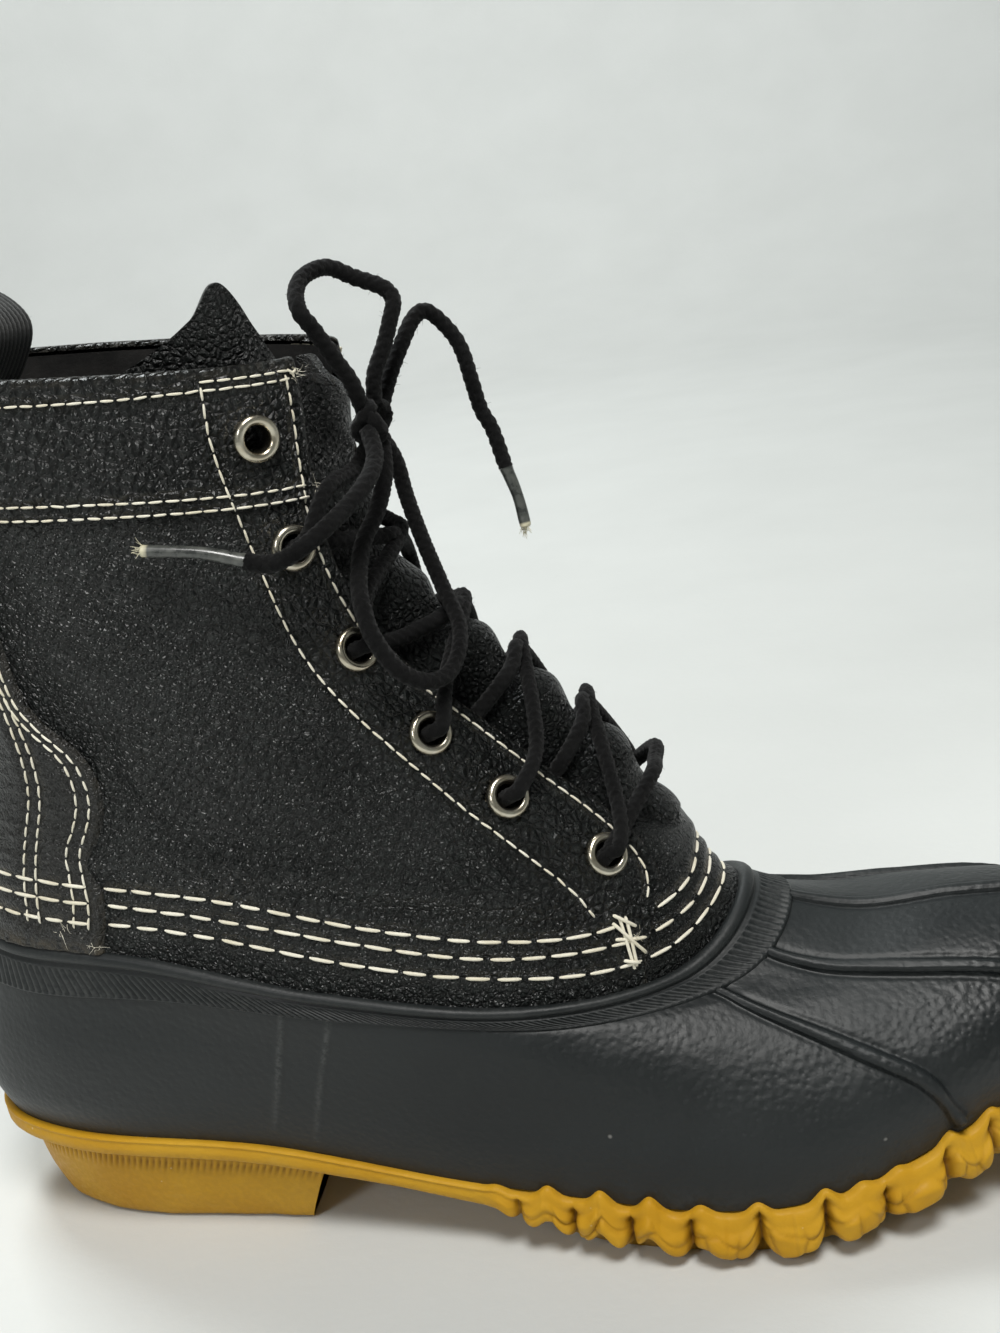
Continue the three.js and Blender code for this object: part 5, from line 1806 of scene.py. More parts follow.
@dataclass
class Outsole:
    """Gum sole: plain band behind, folded lumps round the forefoot, heel block and chevron tread."""

    columns: int = 1060
    band_rows: int = 30
    lump_pitch: float = 13.4
    bulge: float = 2.5
    rise: float = 2.0
    band_proud: float = 0.8
    groove_pitch: float = 11.0
    groove_depth: float = 1.4
    breast_bottom: float = 85.0
    breast_top: float = 93.0
    serration_pitch: float = 1.75

    def build(self, finishes: Finishes) -> list[bpy.types.Object]:
        """Makes the sole in one piece.

        Args:
            finishes: the boot's materials.

        Returns:
            The piece.
        """
        whole = Surface.joined([self.band_and_tread(), *self.heel_block()])
        return [whole.to_object("gum_outsole", finishes.gum, "gum", ["outsole"])]

    def band_and_tread(self) -> Surface:
        """Side band with its lumps, running on under the sole to its middle line.

        Returns:
            The band with its folds, the painted shade in them, and its wear.
        """
        at = signed(even_places(self.density, self.columns, 0.0))
        edge = FORM.point(at, 0.0)
        under, depth, lumped = (self.along(edge, column) for column in (1, 2, 3))
        length = run_along(edge)
        flat = np.stack([length, length * 0], -1)
        top = edge[:, 2] + 0.2
        drift = 2.2 * noise(flat, 17.0, 21)
        gap, lobe, size = self.spans(length, 0.86 * self.lump_pitch, 1.14 * self.lump_pitch, 7)
        lobe = np.sqrt(np.clip(1 - (2 * lobe - 1) ** 4, 0, 1))
        near, _, tall = self.spans(length, 0.6 * self.lump_pitch, 1.15 * self.lump_pitch, 19)
        crest = (0.5 + 0.8 * tall) * bell(near, 2.7)
        top = top + lumped * (self.rise * (1.5 * crest - 0.45) + 0.4 * noise(flat, 6.0, 22))
        bottom = np.maximum(top - depth, under + 0.5 - 0.5 * (1 - lumped))
        bottom += lumped * (1.1 * (1 - lobe) + 1.2 * (size - 0.5))
        bottom = np.where(lumped > 0.5, np.maximum(bottom, under + 0.2), bottom)
        rows = [beside(at, 2.4, top - 0.3), beside(at, 0.2, top)]
        fold_shade_rows = [np.zeros_like(at), np.zeros_like(at)]
        wear_rows = [np.full_like(at, 0.3), np.full_like(at, 0.3)]
        for s in np.linspace(0, 1, self.band_rows):
            plane = np.stack([length, np.full_like(length, s * 12.0)], -1)
            bent = plane + 1.5 * np.stack([noise(plane, 6.0, 33), noise(plane, 6.0, 34)], -1)
            first, second, tag = cells(bent + np.stack([drift, drift * 0.6], -1), 6.4, 31)
            low = ease((s - 0.22) / 0.25)
            # Fold lines between cells: cut into the band, and painted as shade in it.
            fold = bell(second - first, 0.1, 1.2) * low * (0.25 + 0.75 * tag)
            dome = np.sqrt(np.clip(1 - (first / 0.8) ** 2, 0, 1)) * low
            split = bell(gap, 0.8, 1.6) * ease((s - 0.1) / 0.22)
            pinch = bell(gap, 2.4) * ease((s - 0.05) / 0.3)
            round_out = math.sqrt(max(0.0, 1 - ((s - 0.56) / 0.6) ** 2))
            swell = lumped * (self.bulge * round_out * (0.45 + 0.55 * lobe) * (0.85 + 0.3 * size)
                              + 1.35 * dome * (0.5 + 0.9 * tag) + 0.3 * noise(plane, 3.6, 35) * low)
            cut = lumped * (0.55 * fold + 1.5 * split + 1.2 * pinch)
            plain = (1 - lumped) * (0.55 * bell(s - 0.08, 0.08) + 0.9 * math.sin(math.pi * s) ** 0.6)
            tuck = 1.9 * max(0.0, (s - 0.74) / 0.26) ** 2 * (1 + lumped)
            height = top + (bottom - top) * s + 0.35 * lumped * noise(plane, 5.0, 36) * math.sin(math.pi * s)
            proud = self.band_proud + swell - cut + plain - tuck + 0.06 * noise(plane, 2.0, 37)
            rows.append(beside(at, -proud, height))
            # Painted shade in the creases and in the splits between the lumps.
            fold_shade_rows.append(np.clip(lumped * (0.4 * fold + 0.9 * split), 0, 1))
            wear_rows.append(np.full_like(at, 0.75 * max(0.0, (s - 0.82) / 0.18)) * (1 - 0.3 * lumped)
                             + 0.35 * (1 - lumped) * bell(s - 0.75, 0.15))
        rim = beside(at, 3.2, under)
        centre = np.stack([rim[:, 0], np.interp(rim[:, 0], *self.middle_line()), under], -1)
        for s in np.linspace(0, 1, 16):
            spot = rim * (1 - s) + centre * s
            spot[:, 2] = self.along(spot, 1) + self.tread(spot) * min(1.0, 6 * s)
            rows.append(spot)
            fold_shade_rows.append(np.zeros_like(at))
            wear_rows.append(np.full_like(at, 0.5))
        points = np.stack(rows)
        facing = np.broadcast_to(FORM.outward(at, 0.0)[None], points.shape).copy()
        facing[2 + self.band_rows:] = (0, 0, -1)
        return Surface.grid(points, {"fold": np.stack(fold_shade_rows), "wear": np.stack(wear_rows)}, wrap=True,
                            outward=facing)

    @staticmethod
    def density(at: Array) -> Array:
        """Columns per millimetre: fine round the forefoot."""
        return 0.5 + 1.9 * ease((np.abs(at) - 0.47) / 0.03)

    @staticmethod
    def along(points: Array, column: int) -> Array:
        """What the sole's table says at some points.

        Args:
            points: places along the sole.
            column: which column of the table.

        Returns:
            Millimetres for the two heights, and the bare share for the lumps.
        """
        values = np.interp(np.clip(points[:, 0] / SOLE_LENGTH, 0, 1), SOLE[:, 0], SOLE[:, column])
        return values * (SEAT_HEIGHT if column < 3 else 1.0)

    @staticmethod
    def spans(length: Array, least: float, most: float, seed: int) -> tuple[Array, Array, Array]:
        """Spans of uneven width along the edge.

        Args:
            length: distances along the edge.
            least: width of the narrowest span.
            most: width of the widest.
            seed: which series.

        Returns:
            Distance to the nearest end of a span, share of the way through the span, and a fixed
            random number of the nearest end.
        """
        random = np.random.default_rng(seed)
        ends = np.cumsum(random.uniform(least, most, int(length[-1] / least) + 3)) - most
        marks = random.uniform(0, 1, len(ends))
        i = np.clip(np.searchsorted(ends, length, side="right") - 1, 0, len(ends) - 2)
        before, after = length - ends[i], ends[i + 1] - length
        nearer = np.where(before < after, marks[i], marks[i + 1])
        return np.minimum(before, after), before / (before + after), nearer

    @staticmethod
    def middle_line() -> tuple[Array, Array]:
        """Middle of the sole.

        Returns:
            Lengths along it and sideways places.
        """
        at = np.linspace(0.02, 0.98, 60)
        outer, inner = FORM.point(-at, 0.0), FORM.point(at, 0.0)
        return (outer[:, 0] + inner[:, 0]) / 2, (outer[:, 1] + inner[:, 1]) / 2

    def tread(self, points: Array) -> Array:
        """Depth of the chevron grooves under the forefoot.

        Args:
            points: places under the sole.

        Returns:
            One depth for each place.
        """
        zigzag = 3 - 6 * np.abs(((points[:, 1] / 40) % 1) * 2 - 1)
        wave = ((points[:, 0] + zigzag) / self.groove_pitch) % 1
        cut = ease((0.17 - np.abs(wave - 0.5)) / 0.08)
        inside = ease((points[:, 0] - 154) / 3) * ease((254 - points[:, 0]) / 3)
        return self.groove_depth * cut * inside

    def heel_block(self) -> list[Surface]:
        """Block under the heel, leaning in towards its bottom, with fine teeth along its top.

        Returns:
            Its wall, with painted shade along its top and between its teeth, its bottom and its breast.
        """
        round_heel = np.linspace(-1, 1, 700)
        edge = FORM.point(round_heel * place_of(self.breast_top / SOLE_LENGTH), 0.0)
        roof = self.along(edge, 1) + 1.0
        rake = 4.5 * (1 - np.minimum(edge[:, 0] / 60, 1)) ** 2
        length = run_along(edge)
        wave = np.abs(((length / self.serration_pitch) % 1) * 2 - 1)
        rows, folds, wears = [], [], []
        for s in np.linspace(0, 1, 22):
            breast = self.breast_top + (self.breast_bottom - self.breast_top) * s
            at = round_heel * place_of(breast / SOLE_LENGTH)
            belly = 0.8 * math.sin(math.pi * s) ** 0.8
            inset = 2.2 + rake / 2 + (2.8 + rake / 2) * s**1.15 - belly + 0.9 * max(0.0, (s - 0.9) / 0.1) ** 2
            toothed = max(0.0, 1 - abs(s - 0.14) / 0.12)
            plane = np.stack([length, np.full_like(length, s * 20)], -1)
            inset = inset + 0.6 * toothed * ease(wave * 2 - 0.6) + 0.14 * noise(plane, 6.0, 51)
            rows.append(beside(at, inset, np.maximum(roof * (1 - s), 0.0)))
            # Painted shade along the block's top edge and in the grooves between its teeth.
            folds.append(0.5 * max(0.0, 1 - s / 0.08) + 0.7 * toothed * ease(wave * 2 - 0.7))
            wears.append(np.full_like(at, 0.9 * max(0.0, (s - 0.93) / 0.07)) + 0.2)
        walls = np.stack(rows)
        outer, inner = walls[-1, :len(at) // 2], walls[-1, ::-1][:len(at) // 2]
        bottom = np.stack([outer * (1 - s) + inner * s for s in np.linspace(0, 1, 12)])
        across = np.linspace(0, 1, 20)
        breast = np.stack([walls[:, 0] * (1 - s) + walls[:, -1] * s for s in across], 1)
        bow = 2.0 * np.sin(np.pi * across) ** 0.8
        breast[..., 0] -= bow[None] * np.linspace(0.3, 1, len(breast))[:, None]
        return [
            Surface.grid(walls, {"fold": np.stack(folds), "wear": np.clip(np.stack(wears), 0, 1)},
                         outward=np.broadcast_to(FORM.outward(at, 0.0)[None], walls.shape)),
            Surface.grid(bottom, {"wear": np.full(bottom.shape[:2], 0.7)},
                         outward=np.broadcast_to(np.array([0.0, 0, -1]), bottom.shape)),
            Surface.grid(breast, {"wear": np.full(breast.shape[:2], 0.4)},
                         outward=np.broadcast_to(np.array([1.0, 0, 0]), breast.shape)),
        ]


@dataclass
class Insole:
    """Cushioned footbed with the foot's print in it."""

    columns: int = 150
    rows: int = 18

    def build(self, finishes: Finishes) -> list[bpy.types.Object]:
        """Makes the footbed.

        Args:
            finishes: the boot's materials.

        Returns:
            The piece.
        """
        at = signed(np.linspace(0, 1, self.columns, endpoint=False))
        edge = beside(at, RUBBER_WALL + 1.2, 0.0)
        lift = FORM.point(place_of(edge[:, 0] / SOLE_LENGTH), 0.0)[:, 2]
        middle_x, middle_y = Outsole.middle_line()
        rows = []
        for s in np.linspace(0, 1, self.rows):
            spot = edge.copy()
            spot[:, 1] = edge[:, 1] * (1 - s) + np.interp(edge[:, 0], middle_x, middle_y) * s
            spot[:, 2] = lift + 3.0 + 0.6 * (1 - s) ** 3 - 0.45 * math.sin(math.pi * s) ** 2
            spot[:, 2] += 0.2 * noise(spot, 12.0, 61)
            rows.append(spot)
        skirt = edge.copy()
        skirt[:, 2] = rows[0][:, 2] - 2.8
        points = np.stack([skirt, *rows])
        bed = Surface.grid(points, wrap=True, outward=np.broadcast_to(np.array([0.0, 0, 1]), points.shape))
        return [bed.to_object("footbed", finishes.suede, "lining", ["insole"])]


@dataclass
class Backstay:
    """Worn leather overlay round the heel seam."""

    columns: int = 170
    rows: int = 150
    proud: float = 1.5
    low: float = 5.97
    high: float = 10.06
    half_width: float = 38.0

    def height(self, at: Array, row: Array, points: Array) -> Array:
        """Height of the overlay's face over the boot's form.

        Args:
            at: signed places; not used.
            row: section numbers; not used.
            points: the same places in millimetres.

        Returns:
            Heights in millimetres.
        """
        return self.proud + 0.35 * noise(points, 15.0, 71) + 0.16 * noise(points, 5.0, 72)

    def seams(self) -> list[Seam]:
        """Rows of stitches on the overlay.

        Returns:
            Two pairs of thin rows on each side and three thick rows across.
        """
        rows = np.array([9.75, 9.3, 8.9, 8.6, 8.35, 8.1, 7.85, 7.6, 7.35, 7.1, 6.85, 6.6, 6.3])
        edge = curve(BACKSTAY_EDGE, rows)
        near = curve(BACKSTAY_LINE, rows)
        thin = [tuple(zip(edge - 0.014, rows)), tuple(zip(edge - 0.03, rows)),
                tuple(zip(near, rows)), tuple(zip(near + 0.017, rows))]
        thick = [((0.02, level), (0.2, level), (0.318, level)) for level in (6.76, 6.59, 6.38)]
        return [Seam(p, HEEL_THIN) for p in mirrored(thin)] + [Seam(p, THICK) for p in mirrored(thick)]

    def build(self, finishes: Finishes) -> list[bpy.types.Object]:
        """Makes the overlay.

        Args:
            finishes: the boot's materials.

        Returns:
            The piece.
        """
        rows = np.linspace(self.low, self.high, self.rows)
        share = np.linspace(-1, 1, self.columns)
        at = share[None] * curve(BACKSTAY_EDGE, rows)[:, None]
        row = np.broadcast_to(rows[:, None], at.shape)
        form = FORM.point(at, row)
        relief = self.height(at, row, form) + sewn_in(form, self.seams(), 0.4, 0.18, 2.6, 1.3)
        for level in np.linspace(7.0, 8.4, 9):
            wave = row - level - 0.05 * noise(form, 9.0, int(level * 50))
            relief += 0.42 * bell(wave, 0.03) * (0.6 + 0.5 * noise(form, 12.0, 74))
        side = (1 - np.abs(share))[None] * self.half_width
        lip = np.minimum(1, side / 1.1)
        foot = np.minimum(1, (rows[:, None] - self.low) / 0.05)
        rounded = np.sqrt(np.clip(1 - (1 - np.minimum(lip, foot)) ** 2, 0, 1))
        fray = 0.5 * noise(form, 0.9, 75) * (1 - ease((row - 6.0) / 0.06))
        lifted = relief * rounded + 0.15 + fray * rounded
        wear = 0.9 * ease((6.2 - row) / 0.16) + 0.25 * bell(side, 0.7)
        wear = wear + 0.1 * (0.5 + 0.5 * noise(form, 16.0, 76)) * ease(7.6 - row)
        masks = {"grain": np.full(at.shape, 0.45), "wear": np.clip(wear, 0, 1)}
        face = Surface.raised(at, row, lifted, masks)
        return [face.to_object("backstay_overlay", finishes.worn, "worn_leather", ["backstay"])]


@dataclass
class Tongue:
    """Vamp piece between the quarters, and the tongue that rises from it with its wing."""

    columns: int = 160
    rows: int = 156
    vamp_rows: int = 66
    vamp_depth: float = 0.9
    vamp_reach: float = 0.27
    vamp_low: float = 5.9
    puffs: tuple = ((7.08, 0.8), (7.62, 2.6), (8.17, 3.0), (8.62, 2.8), (9.15, 2.4), (9.8, 1.6))

    def height(self, at: Array, row: Array, points: Array) -> Array:
        """Height of the vamp piece over the boot's form.

        Args:
            at: signed places; not used.
            row: section numbers; not used.
            points: the same places in millimetres.

        Returns:
            Heights in millimetres.
        """
        return -self.vamp_depth + 0.3 * noise(points, 18.0, 81) + 0.12 * noise(points, 6.0, 82)

    def seams(self) -> list[Seam]:
        """Rows of stitches across the vamp piece."""
        return [Seam(p, THICK) for p in mirrored(VAMP_LINES)]

    @staticmethod
    def place_across(across: Array) -> Array:
        """Signed place for a share across from the boot's front."""
        return np.where(across < 0, -1 - across, 1 - across)

    def vamp(self) -> Surface:
        """Vamp piece, running in under both quarters.

        Returns:
            The piece with its grain.
        """
        at = self.place_across(np.linspace(-1, 1, self.columns) * self.vamp_reach)
        place = np.abs(at)
        rising = QUARTER_EDGE[1:6]
        high = np.clip(np.interp(place, rising[:, 1], rising[:, 0]) + 0.35, 6.3, 7.35)
        row = self.vamp_low + (high[None] - self.vamp_low) * np.linspace(0, 1, self.vamp_rows)[:, None]
        places = np.broadcast_to(at[None], row.shape)
        form = FORM.point(places, row)
        relief = self.height(places, row, form) + sewn_in(form, self.seams(), 0.45, 0.3, 3.0, 1.4)
        relief += 1.1 * bell(row - 6.95, 0.2) * ease((place - 0.86) / 0.05)
        relief -= 1.5 * ease((place - 0.93) / 0.07) * ease((row - 6.75) / 0.5)
        return Surface.raised(places, row, relief, {"grain": 0.5 + 0.2 * noise(form, 15.0, 83)})

    def sheet(self) -> Surface:
        """Tongue's face and back, with the puffs between the laces.

        Returns:
            The sheet, closed along both sides.
        """
        across = np.linspace(TONGUE[0, 0], TONGUE[-1, 0], self.columns)
        start = curve(TONGUE[:, (0, 1)], across)
        stop = curve(TONGUE[:, (0, 2)], across)
        share = np.linspace(0, 1, self.rows)[:, None]
        row = start[None] + (stop - start)[None] * share
        places = np.broadcast_to(self.place_across(across)[None], row.shape)
        form = FORM.point(places, row)
        relief = THROAT.face(places, row)
        middle = np.abs(across)[None]
        for level, tall in self.puffs:
            relief += tall * bell(row - level, 0.15) * bell(middle, 0.085)
        for level in (LOWEST_CREST, *CRESTS[1:]):
            relief -= 1.1 * bell(row - level, 0.11) * bell(middle, 0.1)
        relief += 0.6 * noise(form, 12.0, 84) + 0.25 * noise(form, 5.0, 85)
        outward = FORM.outward(places, row)
        face = form + outward * relief[..., None]
        rough = 0.35 * noise(np.stack([row * 60, across[None] * 300 + 0 * row], -1), 1.4, 86)
        edge_fade = bell(across - across[0], 0.006)[None]
        face = face + outward * (rough * edge_fade)[..., None]
        back = face - outward * TONGUE_WALL
        grain = np.concatenate([np.full(row.shape, 0.9), np.full(row.shape, 0.2)])
        wear = np.concatenate([0.5 * edge_fade + 0 * row, np.full(row.shape, 0.3)])
        made = [Surface.grid(np.concatenate([face, back[::-1]]), {"grain": grain, "wear": wear},
                             outward=np.concatenate([outward, -outward]))]
        for end in (0, -1):
            rim = np.stack([face[:, end] * (1 - s) + back[:, end] * s for s in np.linspace(0, 1, 4)], 1)
            size = rim.shape[:2]
            made.append(Surface.grid(rim, {"grain": np.full(size, 0.3), "wear": np.full(size, 0.5)}))
        return Surface.joined(made)

    def build(self, finishes: Finishes) -> list[bpy.types.Object]:
        """Makes the tongue and the vamp piece.

        Args:
            finishes: the boot's materials.

        Returns:
            The piece.
        """
        whole = Surface.joined([self.sheet(), self.vamp()])
        return [whole.to_object("tongue_and_vamp", finishes.tongue, "leather", ["tongue"])]


@dataclass
class PullLoop:
    """Ribbed webbing from the outside of the collar over to its inside."""

    width: float = 25.0
    wall: float = 1.8
    ribs: int = 12
    clearance: float = 1.4
    bow_radius: float = 27.0
    step: float = 0.6
    weave: float = 1.3
    crown: tuple = ((0.092, 0.115), (0.125, 0.145), (0.16, 0.125), (0.18, 0.07), (0.165, 0.0), (0.13, -0.08))

    def build(self, finishes: Finishes) -> list[bpy.types.Object]:
        """Makes the loop.

        Args:
            finishes: the boot's materials.

        Returns:
            The piece.
        """
        rise = COLLAR_HEIGHT - TOPLINE_HEIGHT
        outside = self.clearance + BAND_PROUD + self.wall / 2
        inside = -self.clearance - LEATHER_WALL - self.wall / 2
        feet = [FORM.off(0.0, row, distance) for row, distance in
                ((10.15, outside), (10.5, outside), (10.9, outside + 0.3), (10.35, inside), (10.1, inside))]
        crown = [(along * SOLE_LENGTH - 5, COLLAR_HEIGHT + up * rise) for along, up in self.crown]
        path = [(f[0], f[2]) for f in feet[:3]] + crown + [(f[0], f[2]) for f in feet[3:]]
        line = smooth_line(path, self.step)
        ahead = unit(np.gradient(line, axis=0))
        share = np.linspace(0, 1, len(line))
        foot = np.abs(2 * share - 1) ** 1.5
        y = np.linspace(-self.width / 2, self.width / 2, 109)
        bow = foot[:, None] * y[None] ** 2 / (2 * self.bow_radius)
        ribbed = 0.28 * np.abs(np.sin(np.pi * self.ribs * (y / self.width + 0.5)))[None] ** 0.7
        woven = 0.07 * np.sin(2 * np.pi * share * len(line) * self.step / self.weave)[:, None]
        edge = np.sqrt(np.clip(1 - (np.abs(y) / (self.width / 2)) ** 10, 0, 1))[None]
        half = self.wall / 2 * (0.55 + 0.45 * edge) + (ribbed + woven) * edge - 0.14
        faces = []
        for reach in (half, -half):
            x = line[:, 0, None] - ahead[:, 1, None] * reach + bow
            z = line[:, 1, None] + ahead[:, 0, None] * reach
            faces.append(np.stack([x, np.broadcast_to(y, x.shape), z], -1))
        facing = np.stack([-ahead[:, 1], np.zeros(len(line)), ahead[:, 0]], -1)[:, None]
        loop = np.concatenate([faces[0], faces[1][:, ::-1]], 1)
        facing = np.broadcast_to(facing, faces[0].shape)
        band = Surface.grid(loop, wrap=True, outward=np.concatenate([facing, -facing], 1))
        edges = [np.stack([line[:, 0] + bow[:, k], np.full(len(line), y[k]), line[:, 1]], -1)
                 for k in (0, -1)]
        whole = Surface.joined([band, *Fuzz(seed=5, reach=1.0).along_edges(edges)])
        return [whole.to_object("pull_loop_webbing", finishes.webbing, "webbing", ["pull_loop"])]


@dataclass
class Fuzz:
    """Loose fibres that stand off a cord or an edge."""

    seed: int
    reach: float = 0.9
    radius: float = 0.045

    def hair(self, root: Array, direction: Array, random: np.random.Generator) -> Surface:
        """One bent fibre.

        Args:
            root: where it starts.
            direction: which way it points.
            random: where its bend and length come from.

        Returns:
            The fibre.
        """
        bend = unit(random.standard_normal(3)) * self.reach * 0.45
        length = self.reach * random.uniform(0.5, 1.2)
        share = np.linspace(0, 1, 4)[:, None]
        line = root + direction * share * length + bend * share**2
        return tube(line, np.array([1, 0.8, 0.6, 0.3]) * self.radius, 3)

    def along_edges(self, lines: Sequence[Array], each: float = 1.1) -> list[Surface]:
        """Fibres along lines, pointing every way.

        Args:
            lines: lines of points.
            each: distance between fibres.

        Returns:
            One surface for each fibre.
        """
        random = np.random.default_rng(self.seed)
        made = []
        for line in lines:
            for point in even_line(line, each):
                made.append(self.hair(point, unit(random.standard_normal(3)), random))
        return made

    def around(self, line: Array, radius: float, each: float) -> list[Surface]:
        """Fibres all round a cord.

        Args:
            line: the cord's middle.
            radius: its radius.
            each: length of cord for each fibre.

        Returns:
            One surface for each fibre.
        """
        random = np.random.default_rng(self.seed)
        ahead, across, up = frames_along(line)
        count = int(length_of(line) / each)
        made = []
        for _ in range(count):
            k = random.integers(1, len(line) - 1)
            angle = random.uniform(0, 2 * np.pi)
            out = across[k] * math.cos(angle) + up[k] * math.sin(angle)
            direction = unit(out + 0.8 * random.standard_normal() * ahead[k])
            made.append(self.hair(line[k] + out * radius * 0.95, direction, random))
        return made


@dataclass
class Eyelets:
    """Twelve plated eyelets: domed ring, barrel through the leather and washer behind it."""

    sides: int = 44
    seat: float = 0.25

    def build(self, finishes: Finishes) -> list[bpy.types.Object]:
        """Makes all of them in one piece.

        Args:
            finishes: the boot's materials.

        Returns:
            The piece.
        """
        parts, names = [], []
        middle = (EYELET_RADIUS + EYELET_HOLE) / 2
        half = (EYELET_RADIUS - EYELET_HOLE) / 2
        for index, (row, place) in enumerate(EYELETS):
            for side in Side:
                at = side.value * place
                seat = self.seat + (BAND_PROUD if row > band_row(at) else 0.0)
                dome = [(middle + half * math.cos(a), seat + (EYELET_DOME + 0.35) * math.sin(a) ** 0.8)
                        for a in np.linspace(0.0, 0.9 * math.pi, 12)]
                profile = [(EYELET_RADIUS, seat - 0.4), *dome, (EYELET_HOLE, seat - 0.3), (EYELET_HOLE, -2.2),
                           (EYELET_HOLE + 0.2, -2.7), (EYELET_RADIUS - 0.6, -2.6),
                           (EYELET_RADIUS - 0.5, -2.1)]
                out = FORM.outward(at, row)
                across = unit(np.cross(out, (0.0, 0.0, 1.0)))
                up = np.cross(across, out)
                angle = np.linspace(0, 2 * np.pi, self.sides, endpoint=False)
                ring = across[None] * np.cos(angle)[:, None] + up[None] * np.sin(angle)[:, None]
                rows = [FORM.point(at, row) + ring * radius + out * height for radius, height in profile]
                facing = [ring * (1 if k < 8 else -1) + out * 0.6 for k in range(len(profile))]
                parts.append(Surface.grid(np.stack(rows), wrap=True, outward=np.stack(facing)))
                names.append(f"eyelet_{'outer' if side is Side.OUTER else 'inner'}_{index + 1}")
        return [Surface.joined(parts).to_object("plated_eyelets", finishes.nickel, "nickel", names)]


@dataclass
class Laces:
    """Braided lace: crossings through the eyelets, knot, two bow loops and two ends with aglets."""

    sides: int = 16
    step: float = 0.4
    strands: int = 4
    braid_pitch: float = 2.3
    flatten: float = 0.92

    def braid(self, along: Array, angle: Array) -> Array:
        """Relief of the woven strands over the lace.

        Args:
            along: distances along it.
            angle: angles around it.

        Returns:
            Heights over its radius.
        """
        turn_by = 2 * np.pi * along / self.braid_pitch
        one = np.cos(self.strands * angle + turn_by)
        other = np.cos(self.strands * angle - turn_by)
        return 0.3 * np.maximum(one, other) - 0.25

    def cord(self, points: Sequence, fuzz: int, radius: float = LACE_DIAMETER / 2) -> list[Surface]:
        """A braided run with its loose fibres.

        Args:
            points: what its middle passes.
            fuzz: number for its fibres.
            radius: its radius.

        Returns:
            The run and its fibres.
        """
        line = smooth_line(points, self.step)
        body = tube(line, radius, self.sides, self.braid, self.flatten)
        return [body, *Fuzz(seed=fuzz, reach=0.8).around(line, radius, 1.6)]

    @staticmethod
    def over(at: float, row: float, rest: float) -> Array:
        """Place of a lace's middle above a place of the form."""
        return FORM.off(at, row, rest + LACE_DIAMETER / 2 + LACE_GAP)

    def mouth(self, index: int, side: Side) -> list[Array]:
        """Way of the lace out through an eyelet."""
        row, place = EYELETS[index]
        return [FORM.off(side.value * place, row, depth) for depth in (-6.0, -2.5, 0.6)]

    def over_edge(self, index: int, side: Side) -> Array:
        """Place of the lace over the quarter's front edge."""
        row = EYELETS[index][0] + 0.4 * (EYELETS[index - 1][0] - EYELETS[index][0])
        return self.over(side.value * quarter_edge(row), row, EYELET_SEAT + EYELET_DOME - 0.6)

    def strand(self, index: int, side: Side) -> list:
        """Middle of one strand from its eyelet to under the other quarter.

        Args:
            index: number of its eyelet from the top.
            side: side of its eyelet.

        Returns:
            Points that it passes.
        """
        row, place = EYELETS[index]
        crest, above = CRESTS[index], EYELETS[index - 1][0]
        edge = quarter_edge(crest)
        points = self.mouth(index, side)
        points.append(self.over(side.value * (place + 0.02), row + 0.03, 0.2))
        points.append(self.over_edge(index, side))
        top = 0.5 + 0.8 * (side is Side.OUTER)
        for share, rest in ((0.0, top), (0.35, 1.0), (0.7, 0.4), (1.05, -1.4), (1.5, -1.9)):
            at = 1 - share * (1 - edge)
            points.append(self.over_tongue(-side.value * at, crest + (above - crest) * share, rest))
        return points

    def over_tongue(self, at: float, row: float, rest: float) -> Array:
        """Place of a lace's middle above a place of the tongue."""
        return self.over(at, row, THROAT.face(at, row) + rest)

    def lowest_run(self) -> list:
        """Middle of the lowest run, straight across between the last two eyelets.

        Returns:
            Points that it passes.
        """
        last = len(EYELETS) - 1
        flank = 1 - (1 - quarter_edge(LOWEST_CREST)) / 2
        outer, inner = self.mouth(last, Side.OUTER), self.mouth(last, Side.INNER)
        return [*outer, self.over_tongue(-flank, LOWEST_CREST, LACE_DIAMETER),
                self.over_tongue(1.0, LOWEST_CREST, 0.6),
                self.over_tongue(flank, LOWEST_CREST, LACE_DIAMETER), *inner[::-1]]

    def tie(self, side: Side) -> list:
        """Middle of the strand from a second eyelet to the knot.

        Args:
            side: side of its eyelet.

        Returns:
            Points that it passes.
        """
        row, place = EYELETS[1]
        points = self.mouth(1, side)
        points.append(self.over(side.value * (place + 0.02), row + 0.06, 0.2))
        points.append(self.over_edge(1, side))
        points.append(self.over(side.value * 0.94, CRESTS[1], THROAT.face(1.0, CRESTS[1])))
        points.append(KNOT + (0.5, 2.0 * side.value, -1.5))
        return points

    def knot(self) -> list[Surface]:
        """Knot: a turn round the loops' feet and two wraps that cross it.

        Returns:
            The turns and their fibres.
        """
        turns = []
        angle = np.linspace(0, 2 * np.pi, 15)
        sizes = ((0.35, 4.3, 3.6, 0.8), (-0.5, 4.6, 3.2, -1.0), (1.25, 3.6, 4.4, 0.3))
        for k, (tilt, wide, tall, shift) in enumerate(sizes):
            ring = np.stack([1.6 * np.cos(2 * angle + k) + shift, wide * np.cos(angle),
                             tall * np.sin(angle)], -1)
            spin = np.array(Matrix.Rotation(tilt, 3, "X"))
            turns += self.cord(KNOT + ring @ spin.T, 200 + k, 1.9)
        return turns

